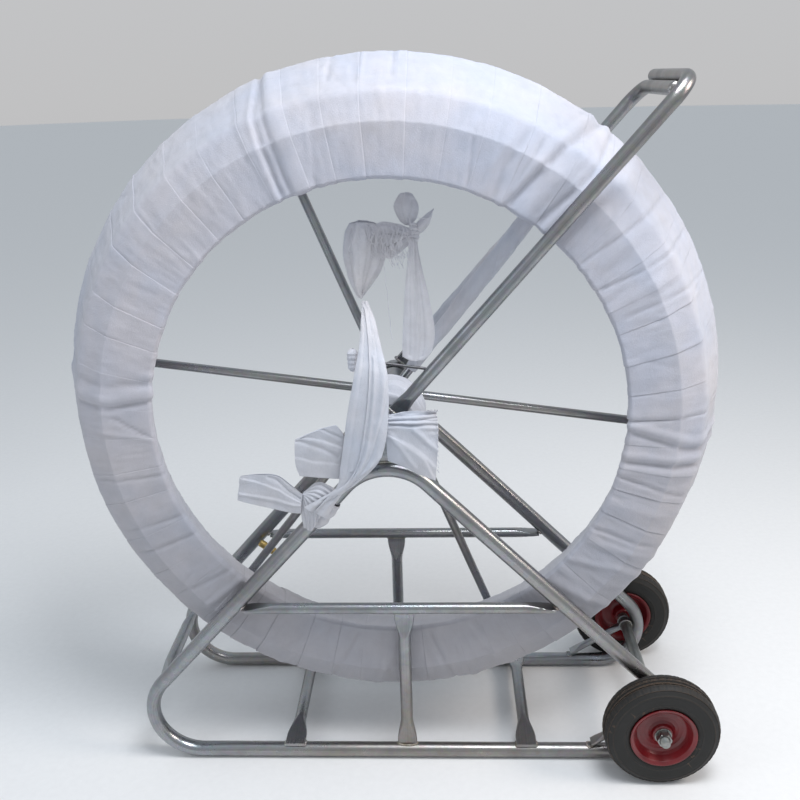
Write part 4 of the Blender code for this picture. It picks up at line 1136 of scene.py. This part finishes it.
    # Flats between the laps round the rim, as cloth pulled over a round bundle.
    sag = LAP_ARM * (1 - np.cos(lap_turn / 2)) * 4 * t * (1 - t)
    d = d - 0.75 * sag[:, None] * smoothstep(0.69, 0.73, section[:, 0])[None]
    # The hoops under the two front ridges hold the cloth out; the struts pass close by in front.
    hoop = np.maximum(bump(np.hypot(section[:, 0] - 0.606, section[:, 1] + 0.154), 0.010),
                      bump(np.hypot(section[:, 0] - 0.507, section[:, 1] + 0.150), 0.008))
    low = -0.0065 + 0.0052 * hoop
    high = np.where(section[:, 1] < -0.12, 0.0042, 0.0075)
    middle = (low + high) / 2
    half = (high - low) / 2
    d = middle[None] + half[None] * np.tanh((d - middle[None]) / half[None])

    r = radius + normal[None, :, 0] * d
    y = section[None, :, 1] + normal[None, :, 1] * d
    points = np.stack([r * np.cos(theta), y, HUB_Z + r * np.sin(theta)], 2)
    data = grid_data(points, wrap_u=True, us=columns * LAP_ARM, vs=s)
    return cloth_piece("ring_wrap", data, WRAP, "reel", ["ring_binding"], 0.0010)


ring_wrap = ring_cloth()


# --- small cloths tied to the stand and the reel ---------------------------------------------------
FOLD_GAIN = 0.00135  # metres of height for each unit in the fold tables


def patch(control, nu, nv, folds=(), crumple=0.0, scale=0.03, seed=1, lift=None):
    """Cloth surface through a grid of control points, with folds and small crumples.

    folds are (points in percent of the patch, height and width in mm, kind ridge or step).
    """
    control = np.asarray(control, float)
    u, v = np.linspace(0, 1, nu), np.linspace(0, 1, nv)
    surface = catmull(np.swapaxes(catmull(control, u), 0, 1), v)
    surface = np.swapaxes(surface, 0, 1)
    du, dv = np.gradient(surface, axis=0), np.gradient(surface, axis=1)
    normal = unit(np.cross(du, dv))
    along_u = np.linalg.norm(du, axis=2).mean() * (nu - 1)
    along_v = np.linalg.norm(dv, axis=2).mean() * (nv - 1)
    uu, vv = np.meshgrid(u, v, indexing="ij")
    d = np.zeros((nu, nv))
    for points, high, wide, kind in folds:
        points = np.asarray(points, float) * 0.01 * (along_u, along_v)
        here = np.stack([uu * along_u, vv * along_v], 2)
        near = np.full((nu, nv), 1e9)
        signed = np.zeros((nu, nv))
        for a, b in zip(points[:-1], points[1:]):
            line = b - a
            t = np.clip(((here - a) @ line) / (line @ line), 0, 1)
            gap = here - (a + t[..., None] * line)
            dist = np.linalg.norm(gap, axis=2)
            side = np.sign(line[0] * gap[..., 1] - line[1] * gap[..., 0])
            closer = dist < near
            near = np.where(closer, dist, near)
            signed = np.where(closer, dist * side, signed)
        high, wide = high * FOLD_GAIN, wide * 0.001
        if kind == "ridge":
            d += high * np.exp(-((near / wide) ** 2))
        else:
            d += high * 0.5 * (1 - np.tanh(signed / wide * 2)) * np.exp(-near / (4 * wide))
    d += crumple * fbm(uu * along_u / scale, vv * along_v / scale, seed, 4)
    if lift is not None:
        d += lift(uu, vv)
    out = surface + normal * d[..., None]
    return out, u * along_u, v * along_v


def patch_data(*args, **kwargs):
    points, us, vs = patch(*args, **kwargs)
    return grid_data(points, us=us, vs=vs)


def rows_xz(rows, y):
    """Control rows of (x, z) or (x, z, dy) points set at depth y."""
    return [[(p[0], y + (p[2] if len(p) > 2 else 0.0), p[1]) for p in row] for row in rows]


def threads(lines, radius, sides=5, seed=3):
    """Loose threads as one mesh of thin tubes through lists of points."""
    parts = []
    for k, line in enumerate(lines):
        pts = catmull(line, np.linspace(0, 1, max(8, 6 * len(line))))
        pts[:, 0] += 0.0012 * noise(np.arange(len(pts)) * 0.6, k * 7.3, seed)
        tangent = unit(np.gradient(pts, axis=0))
        helper = np.where(np.abs(tangent[:, 1:2]) > 0.9, np.array([[1.0, 0, 0]]), np.array([[0, 1.0, 0]]))
        side = unit(np.cross(tangent, helper))
        up = np.cross(tangent, side)
        angle = circle(sides)
        ring = side[:, None] * np.cos(angle)[None, :, None] + up[:, None] * np.sin(angle)[None, :, None]
        parts.append(grid_data(pts[:, None] + ring * radius, wrap_v=True, caps=True))
    return merge(parts)


def wrapped_tube(foot, direction, stations, sides, turns_of_cloth, seed, depth):
    """Cloth wound along a straight tube: spiral laps, hollows between them and fine wrinkles.

    stations are (distance from the foot, outer radius); depth is the step from lap to lap.
    """
    direction = unit(direction)
    side = unit(np.cross(direction, Y_AXIS))
    stations = np.asarray(stations, float)
    s = np.linspace(stations[0, 0], stations[-1, 0], 260)
    where = np.interp(s, stations[:, 0], np.linspace(0, 1, len(stations)))
    radius = catmull(stations[:, 1:], where)[:, 0]
    angle = circle(sides)
    ss, aa = np.meshgrid(s, angle, indexing="ij")
    length = s[-1] - s[0]
    phase = ((ss - s[0]) / length * turns_of_cloth - aa / TAU + 0.13 * noise(ss * 9, 4.0, seed)) % 1.0
    lap = depth * (0.85 - phase) - 0.6 * depth * np.exp(-((phase / 0.05) ** 2))
    wrinkle = 0.0009 * noise(ss / 0.050 + aa * 0.9, np.cos(aa) * 2.2, seed + 5)
    wrinkle += 0.0006 * noise(ss / 0.016 - aa * 1.8, np.sin(aa) * 3.1, seed + 9)
    r = radius[:, None] + lap + wrinkle
    out = side * np.cos(aa)[..., None] + Y_AXIS * np.sin(aa)[..., None]
    points = np.asarray(foot, float) + direction * ss[..., None] + out * r[..., None]
    return grid_data(points, wrap_v=True, us=s, vs=angle * radius.mean())


# Drape over the front bearing: four or five squashed folds at the top, smooth below.
def drape_lift(u, v):
    top = 1 - smoothstep(0.30, 0.50, u + 0.05 * noise(v * 3.0, 2.0, 8))
    wave = np.sin((u * 17.0 + 0.9 * noise(v * 2.2, u * 4.0, 12)) * math.pi) * 0.0028
    return top * wave * (0.55 + 0.45 * noise(v * 4.0, u * 9.0, 13))


DRAPE = rows_xz(mm([
    [(6, 872, 11), (37, 874.5, 13), (70, 876.5, 12), (102, 878, 9)],
    [(-1, 860, 1), (34, 864, 0), (71, 865, 0), (105, 864, 3)],
    [(-3, 845, 0), (33, 847, -3), (72, 845, -3), (106, 840, 2)],
    [(0, 815, 0), (36, 812, -3), (73, 806, -3), (104.5, 800, 2)],
    [(1, 790, 1), (34, 782, -2), (69, 772, -2), (101.5, 760, 2)],
    [(2, 773, 2), (30, 762, 0), (66, 744, 0), (99, 729, 2)],
]), -0.2265)
DRAPE_FOLDS = [
    ([(50, 5), (62, 50), (80, 97)], 2.2, 6, "step"),
    ([(58, 30), (75, 75), (97, 98)], 1.8, 6, "step"),
    ([(44, 55), (56, 80), (62, 100)], 2, 5, "ridge"),
    ([(40, 2), (60, 20), (90, 55)], 1.4, 6, "ridge"),
    ([(5, 0), (10, 45), (6, 100)], -2.2, 4, "ridge"),
    ([(20, 5), (23, 60), (18, 100)], -2.6, 4, "ridge"),
    ([(33, 10), (36, 50), (32, 95)], -2.2, 4, "ridge"),
]
drape = cloth_piece("drape_sheet",
                    patch_data(DRAPE, 170, 120, DRAPE_FOLDS, 0.0010, 0.035, 21, drape_lift),
                    SCRAP, "stand", ["drape_cloth"])

frays = []
for k in range(14):
    x = 0.082 + 0.0016 * k
    frays.append([(x, -0.216, 0.874), (x + 0.002, -0.221, 0.8795 + 0.002 * math.sin(k * 2.1)),
                  (x + 0.003 + 0.002 * math.sin(k * 1.7), -0.225, 0.8815 + 0.003 * math.sin(k * 3.3))])
for k in range(9):
    z = 0.752 + 0.012 * k
    frays.append([(0.1015, -0.224, z), (0.1045, -0.227, z - 0.002),
                  (0.1060, -0.226, z - 0.006 - 0.002 * (k % 3))])
drape_frays = piece("drape_frays", threads(frays, 0.00055), SCRAP, "stand")

# Strip that runs down from the reel to the knot: a gathered rope of cloth with a deep middle fold.
STRIP_LEFT = mm([
    (-50, -100, 1079), (-47, -160, 1056), (-50, -204, 1008), (-61, -233, 952), (-76, -242, 876),
     (-93, -242, 776), (-104, -241, 722), (-140, -236, 694), (-176, -233, 672),
])
STRIP_RIGHT = mm([
    (-38, -100, 1079), (-19, -160, 1050), (-4, -204, 1000), (8, -233, 945), (4, -243, 850),
     (-14, -243, 780), (-58, -241, 732), (-95, -237, 702), (-130, -233, 648),
])
left, right = np.array(STRIP_LEFT), np.array(STRIP_RIGHT)
strip_rows = []
for w in (0.0, 0.22, 0.45, 0.60, 0.80, 1.0):
    row = left * (1 - w) + right * w
    row[:, 1] += {0.0: 0.003, 0.22: -0.003, 0.45: 0.0035, 0.60: -0.001, 0.80: -0.003, 1.0: 0.004}[w]
    strip_rows.append(row)
STRIP = np.swapaxes(np.array(strip_rows), 0, 1)
STRIP_FOLDS = [
    ([(5, 50), (30, 46), (55, 44), (78, 42), (98, 45)], 5, 4.8, "ridge"),
    ([(8, 20), (35, 20), (60, 18), (90, 22)], -2.4, 5, "ridge"),
    ([(18, 78), (45, 76), (70, 70), (90, 74)], -2, 6, "ridge"),
    ([(40, 95), (62, 62), (80, 55)], 2, 3.5, "step"),
    ([(62, 97), (70, 72), (84, 60)], 2, 3, "step"),
    ([(30, 98), (50, 78), (62, 70)], 1.6, 3, "step"),
    ([(10, 35), (40, 33), (66, 30)], 1.6, 2.8, "ridge"),
    ([(28, 62), (52, 60), (78, 60)], 1.8, 3, "ridge"),
]
strip = cloth_piece("tie_strip_sheet",
                    patch_data(STRIP, 260, 90, STRIP_FOLDS, 0.0011, 0.020, 33),
                    SCRAP, "stand", ["tie_strip"])


# Knot round the strut and the two flaps that stand out from it.
KNOT_DIR = unit((APEX[0] - LEFT_FOOT[0], 0.0, APEX[1] - LEFT_FOOT[1]))
KNOT_MID = np.array((strut_x(0.640, True), -FRAME_Y, 0.640))
KNOT_SIDE = unit(np.cross(KNOT_DIR, Y_AXIS))


def knot_band():
    """Crumpled band of cloth wound round the strut, thick in front where it is tied."""
    s = np.linspace(-0.034, 0.034, 90)
    angle = circle(120)
    ss, aa = np.meshgrid(s, angle, indexing="ij")
    front = 0.5 - 0.5 * np.sin(aa)
    edge = np.sqrt(np.clip(1 - (ss / 0.0345) ** 4, 0, 1))
    r = 0.0182 + edge * (0.0014 + 0.0085 * front**1.5)
    r += edge * (0.0016 * np.sin(ss / 0.0042 + 1.6 * np.sin(aa * 1.5)) * (0.4 + front) * 0.7)
    r += edge * 0.0012 * noise(ss / 0.014, np.cos(aa) * 3 + 4, 51)
    r = np.maximum(r, 0.0176)
    out = KNOT_SIDE * np.cos(aa)[..., None] + Y_AXIS * np.sin(aa)[..., None]
    return grid_data(KNOT_MID + KNOT_DIR * ss[..., None] + out * r[..., None], wrap_v=True, us=s,
                     vs=angle * 0.024)


FAN = rows_xz(mm([
    [(-181, 694, 6), (-181, 694, 2), (-180, 695, 0), (-179, 696, 2), (-178, 697, 6)],
    [(-184, 664, 4), (-172, 676, -7), (-157, 692, -10), (-148, 706, -7), (-147, 722, 1)],
    [(-186, 636, 6), (-164, 652, -8), (-142, 675, -11), (-126, 692, -8), (-122, 714, 0)],
    [(-183, 611, 12), (-166, 610, 0), (-148, 640, -6), (-125, 676, -4), (-108, 702, 3)],
]), -0.215)


def fan_lift(u, v):
    pleat = np.abs(((v * 8.0 + 0.4 * noise(u * 2.5, v * 2, 61)) % 1.0) - 0.5) * 2 - 0.5
    return 0.0030 * pleat * smoothstep(0.02, 0.35, u)


knot = cloth_piece("knot_band", knot_band(), SCRAP, "stand", ["strut_knot"])
fan = cloth_piece("knot_fan", patch_data(FAN, 110, 110, (), 0.0008, 0.02, 62, fan_lift), SCRAP, "stand")


def loop_flap(name, node, rows, y, gap, folds, seed):
    """Flattened bow: a front and a back layer joined along the far edge."""
    rows = np.array(rows_xz(rows, y))
    front = rows.copy()
    count = rows.shape[0]
    swell = np.sin(np.linspace(0, 1, count) * math.pi * 0.92 + 0.15)
    front[:, :, 1] -= gap * swell[:, None]
    back = rows[::-1].copy()
    back[:, :, 1] += gap * swell[::-1, None]
    loop = np.concatenate([front, back[1:]])
    data = patch_data(loop, 190, 80, folds, 0.0009, 0.022, seed)
    return cloth_piece(name, data, SCRAP, "stand", [node])


LOW_ROWS = mm([
    [(-180, 696), (-182, 684), (-184, 668), (-186, 652)],
    [(-203, 717), (-205, 697), (-208, 675), (-210, 656)],
    [(-231, 739), (-232, 713), (-235, 687), (-238, 664)],
    [(-272, 742), (-273, 719), (-276, 696), (-279, 674)],
    [(-306, 739), (-310, 720), (-314, 702), (-317, 684)],
])
LOW_FOLDS = [
    ([(46, 10), (28, 34), (2, 45)], 2.2, 3.5, "step"),
    ([(48, 72), (25, 70), (2, 62)], 1.8, 4, "ridge"),
    ([(30, 5), (16, 22), (2, 30)], -1.8, 4, "ridge"),
    ([(52, 30), (75, 40), (98, 45)], 1.6, 4, "step"),
]
low_flap = loop_flap("knot_bow_low", "knot_flap_low", LOW_ROWS, -0.2185, 0.0038, LOW_FOLDS, 71)
HIGH_ROWS = mm([
    [(-182, 740), (-160, 738), (-130, 735), (-100, 733)],
    [(-188, 762), (-160, 766), (-128, 768), (-95, 770)],
    [(-189, 790), (-160, 797), (-125, 804), (-89, 806)],
    [(-187, 818), (-158, 828), (-130, 838), (-87, 830)],
    [(-184, 823), (-155, 835), (-128, 846), (-101, 852)],
])
HIGH_FOLDS = [
    ([(41, 2), (33, 45), (24, 98)], 2.6, 4, "step"),
    ([(37, 4), (27, 50), (17, 92)], 1.8, 4, "ridge"),
    ([(22, 2), (15, 40), (12, 85)], 1.8, 5, "step"),
    ([(47, 55), (38, 75), (33, 98)], 1.4, 4, "ridge"),
]
high_flap = loop_flap("knot_bow_high", "knot_flap_high", HIGH_ROWS, -0.2225, 0.0036, HIGH_FOLDS, 81)

# Cloth wound round the back handle tube and round the second spoke.
HANDLE_SLEEVE = mm([(60, 15.8), (110, 16.8), (260, 16.4), (400, 16.8), (470, 16.2)])
SPOKE_SLEEVE = mm([(70, 12.5), (125, 14.8), (200, 16.5), (320, 18.5), (495, 18.8)])
data = wrapped_tube(HANDLE_FOOT + (0, FRAME_Y, 0), slope, HANDLE_SLEEVE, 72, 4.4, 91, 0.0011)
handle_wrap = cloth_piece("handle_wrap", data, SLEEVE, "stand", ["handle_cloth"])
spoke_dir = np.array((math.cos(SPOKES[1]), 0.0, math.sin(SPOKES[1])))
data = wrapped_tube(HUB + (0, SPOKE_Y, 0), spoke_dir, SPOKE_SLEEVE, 96, 2.3, 97, 0.0018)
spoke_wrap = cloth_piece("spoke_wrap", data, SLEEVE, "reel", ["spoke_cloth"])


# Cloth bound round the front of the hub barrel.
def hub_wrap_data():
    outline = mm([(35.5, -139), (56, -139), (75.5, -114), (79.5, -70), (68, -32), (35.5, -23)])
    profile = resample(rounded(outline, mm([0, 8, 14, 20, 12, 0]), closed=False, steps=12), 0.0014)

    def wobble(a, r, y):
        s = np.linspace(0, 1, r.shape[1])[None]
        hoop = 0.0022 * np.sin(s * 46 + 1.7 * np.sin(a + 0.6) + 1.3 * noise(a * 1.6, s * 5, 101))
        ends = smoothstep(0.05, 0.2, s) * (1 - smoothstep(0.85, 0.98, s))
        r = r + (hoop + 0.0012 * noise(a * 5, s * 16, 103)) * ends - 0.0022
        return np.clip(r, 0.0352, 0.0815), y

    return revolve_data(profile, HUB, 220, closed_profile=False, wobble=wobble)


hub_wrap = cloth_piece("hub_wrap", hub_wrap_data(), SCRAP, "reel", ["hub_cloth"])

# Bunch knotted on the third spoke: a hanging pouch, a torn arm of netting, a leaf, an ear and a tail.
POUCH = mm([
    [(-79, 4, 1222), (-62, -8, 1226), (-42, -8, 1226), (-22, 2, 1221)],
    [(-90, 6, 1199), (-64, -15, 1204), (-32, -14, 1204), (-6, 2, 1200)],
    [(-94, 8, 1162), (-64, -21, 1164), (-30, -20, 1165), (-1, 4, 1166)],
    [(-90, 8, 1124), (-66, -19, 1120), (-38, -18, 1122), (-8, 4, 1136)],
    [(-80, 8, 1092), (-66, -13, 1084), (-48, -12, 1090), (-22, 4, 1108)],
    [(-68, 6, 1066), (-60, -2, 1062), (-52, -2, 1068), (-40, 4, 1084)],
])
POUCH_FOLDS = [
    ([(2, 40), (30, 30), (60, 35), (95, 45)], 4, 6, "ridge"),
    ([(5, 75), (35, 70), (65, 66), (92, 60)], -3.6, 6, "ridge"),
    ([(10, 15), (45, 14), (75, 22)], -3, 5, "ridge"),
    ([(25, 55), (55, 52), (85, 52)], 3, 4, "step"),
    ([(15, 92), (45, 88), (70, 80)], 2.8, 4, "step"),
]
pouch_front, us, vs = patch(POUCH, 130, 90, POUCH_FOLDS, 0.0024, 0.024, 111)
pouch_back = pouch_front.copy()
pouch_back[..., 1] = 0.0165 - 0.30 * (pouch_back[..., 1] - 0.004)
pouch_data = merge([grid_data(pouch_front, us=us, vs=vs), grid_data(pouch_back[:, ::-1], us=us, vs=vs)])
pouch = cloth_piece("bunch_pouch", pouch_data, BUNCH, "reel", ["tie_bunch"])

ARM = mm([
    [(-24, -1, 1221), (-18, -9, 1203), (-11, -10, 1184), (-6, -6, 1166), (-3, 0, 1150)],
    [(-8, -3, 1227), (-3, -14, 1207), (2, -17, 1186), (4, -13, 1166), (5, -3, 1147)],
    [(12, -3, 1225), (14, -14, 1208), (16, -16, 1189), (18, -12, 1170), (19, -3, 1156)],
    [(32, -1, 1220), (33, -12, 1208), (34, -14, 1194), (36, -10, 1180), (37, -2, 1168)],
    [(52, 0, 1213), (52, -9, 1206), (52, -11, 1197), (52, -8, 1188), (52, 0, 1180)],
])
ARM_FOLDS = [
    ([(2, 30), (40, 34), (75, 42), (100, 48)], 3.6, 4, "step"),
    ([(5, 62), (40, 62), (80, 58), (100, 52)], 3.4, 3.5, "ridge"),
    ([(5, 12), (40, 16), (85, 30)], -3, 4, "ridge"),
    ([(10, 85), (50, 80), (90, 70)], -3, 4, "ridge"),
]
arm = cloth_piece("bunch_arm", patch_data(ARM, 120, 90, ARM_FOLDS, 0.0026, 0.016, 121), BUNCH, "reel")

LEAF = mm([
    [(40, 12, 1216), (43, 10, 1216), (47, 10, 1216), (51, 12, 1217)],
    [(26, 16, 1228), (36, 8, 1231), (49, 8, 1232), (64, 14, 1229)],
    [(16, 20, 1256), (32, 7, 1255), (52, 7, 1254), (70, 16, 1252)],
    [(28, 22, 1280), (38, 12, 1278), (52, 12, 1274), (65, 18, 1268)],
    [(37, 22, 1284), (42, 18, 1285), (49, 18, 1284), (56, 20, 1281)],
])
LEAF_FOLDS = [
    ([(5, 50), (40, 42), (75, 35), (95, 30)], 2.6, 4, "step"),
    ([(5, 62), (35, 70), (70, 78)], 1.8, 4, "ridge"),
]
EAR = mm([
    [(56, 6, 1212), (58, 0, 1206), (62, 0, 1201), (68, 6, 1197)],
    [(70, 8, 1226), (74, -2, 1220), (78, -2, 1212), (82, 6, 1206)],
    [(92, 10, 1244), (94, 2, 1238), (95, 2, 1230), (93, 8, 1223)],
    [(101, 12, 1251), (101, 8, 1248), (100, 8, 1245), (99, 10, 1242)],
])
ear_parts = [patch_data(LEAF, 90, 60, LEAF_FOLDS, 0.0014, 0.02, 131),
             patch_data(EAR, 60, 44, (), 0.0020, 0.012, 133)]


def knot_ball():
    """Tight crumpled ball where the cloths are tied on the spoke."""
    a = circle(72)
    t = np.linspace(0.06, 0.94, 48)
    tt, aa = np.meshgrid(t, a, indexing="ij")
    r = 0.0118 * np.sin(tt * math.pi) ** 0.6 + 0.0016 * noise(aa * 2.2, tt * 7, 141)
    r += 0.0012 * np.sin(tt * 38 + 2 * np.sin(aa))
    return grid_data(np.stack([0.0575 + r * np.cos(aa), 0.002 + r * np.sin(aa), 1.172 + 0.054 * tt], 2),
                     wrap_v=True, us=t * 0.04, vs=a * 0.012)


ears = cloth_piece("bunch_ears", merge(ear_parts + [knot_ball()]), BUNCH, "reel")

TAIL = mm([
    [(50, -8, 1192), (54, -13, 1192), (58, -12, 1192), (62, -13, 1191), (66, -8, 1190)],
    [(48, -18, 1166), (53, -24, 1165), (58, -20, 1165), (64, -24, 1164), (69, -18, 1163)],
    [(42, -28, 1124), (50, -34, 1122), (59, -29, 1121), (69, -34, 1120), (78, -28, 1119)],
    [(37, -31, 1072), (50, -36, 1070), (62, -30, 1068), (76, -36, 1066), (90, -30, 1064)],
    [(33, -32, 1020), (49, -36, 1018), (64, -30, 1016), (81, -36, 1013), (99, -30, 1010)],
    [(30, -32, 976), (47, -36, 971), (64, -30, 968), (82, -35, 969), (100, -30, 980)],
    [(29, -32, 938), (45, -35, 930), (60, -31, 928), (76, -34, 931), (93, -30, 946)],
])
TAIL_FOLDS = [
    ([(2, 45), (30, 46), (65, 48), (100, 47)], 3, 4, "ridge"),
    ([(10, 72), (45, 70), (95, 68)], -2.2, 4, "ridge"),
    ([(15, 22), (50, 22), (95, 24)], -2, 4, "ridge"),
    ([(2, 60), (30, 58), (60, 58)], 2, 3, "step"),
]
tail = cloth_piece("bunch_tail_sheet",
                   patch_data(TAIL, 150, 80, TAIL_FOLDS, 0.0012, 0.03, 151),
                   BUNCH, "reel", ["bunch_tail"])

loose = [mm(line) for line in (
    [(-7, -18, 1146), (-3, -24, 1108), (1, -26, 1064), (5, -28, 998), (9, -30, 975)],
    [(46, -16, 1212), (49, -22, 1180), (47, -26, 1150), (50, -30, 1110), (44, -34, 1060)],
    [(60, -6, 1236), (76, -4, 1232), (94, 0, 1233)],
    [(40, -8, 1256), (52, -10, 1226), (56, -16, 1190)],
)]
for k in range(44):
    a, b = math.sin(k * 2.39), math.sin(k * 4.71 + 1.0)
    x = -0.070 + 0.0026 * k
    loose.append([(x, -0.016, 1.214 + 0.006 * a), (x + 0.008 * b, -0.022, 1.196 + 0.008 * b),
                  (x + 0.014 * a, -0.021, 1.176 + 0.006 * a), (x + 0.010, -0.017, 1.160 - 0.012 * abs(b))])
for k in range(10):
    a = math.sin(k * 1.9 + 0.4)
    loose.append([(0.002 + 0.004 * k, -0.018, 1.160 + 0.006 * a),
                  (0.006 + 0.003 * k, -0.020, 1.146 + 0.006 * a),
                  (0.010 + 0.003 * k + 0.006 * a, -0.018, 1.134 - 0.005 * a)])
bunch_threads = piece("bunch_threads", threads(loose, 0.00075), BUNCH, "reel")

# Rod on the front handle tube with its cloth-bound end, and the brass pulling head at the back.
ROD_TIP, ROD_END = np.array((-0.0660, -0.1740, 0.9760)), np.array((0.0820, -0.1740, 0.9541))
rod_dir = unit(ROD_END - ROD_TIP)
rod_path = [ROD_TIP + rod_dir * s for s in np.linspace(0.0130, np.linalg.norm(ROD_END - ROD_TIP), 40)]
piece("side_rod_bar", tube_data(rod_path, Y_AXIS, 0.0030, sides=20), DARK, "stand",
      ["side_rod"])


def knob_data():
    z = np.linspace(0.952, 0.998, 70)
    a = circle(64)
    zz, aa = np.meshgrid(z, a, indexing="ij")
    r = np.interp(zz, [0.952, 0.957, 0.976, 0.990, 0.995, 0.998],
                  [0.0060, 0.0096, 0.0104, 0.0108, 0.0080, 0.0030])
    r += 0.0009 * np.sin(zz / 0.0016 + 2.2 * np.sin(aa)) * 0.5 + 0.0007 * noise(aa * 2.5, zz * 130, 161)
    return grid_data(np.stack([ROD_TIP[0] + r * np.cos(aa), ROD_TIP[1] + r * np.sin(aa), zz], 2),
                     wrap_v=True, us=z, vs=a * 0.01)


knob = cloth_piece("side_rod_wrap", knob_data(), SLEEVE, "stand", ["side_rod_knob"])
HEAD_DIR = unit((0.80, 0.0, -0.60))
HEAD_MID = np.array((-0.336, FRAME_Y - 0.030, 0.372))
head_side = unit(np.cross(HEAD_DIR, Y_AXIS))
head_profile = rounded(mm([
    (-30, 3), (-30, 6.8), (-26.2, 9.8), (-12, 9.8), (-11, 8.6), (-8.5, 8.6), (-7.5, 9.8), (12, 9.8),
    (23.8, 7.8), (29.8, 3.8), (30, 1),
]), mm([0, 1, 1, 0.4, 0.3, 0.3, 0.4, 2, 3, 1, 0]), closed=False)
head_angle = circle(48)
head_ring = Y_AXIS * np.cos(head_angle)[:, None] + head_side * np.sin(head_angle)[:, None]
head_along, head_out = head_profile[:, 0, None, None], head_profile[:, 1, None, None]
head_rows = HEAD_MID + HEAD_DIR * head_along + head_ring[None] * head_out
piece("rod_head_turned", grid_data(head_rows, wrap_v=True, caps=True), BRASS, "stand",
      ["rod_head"])
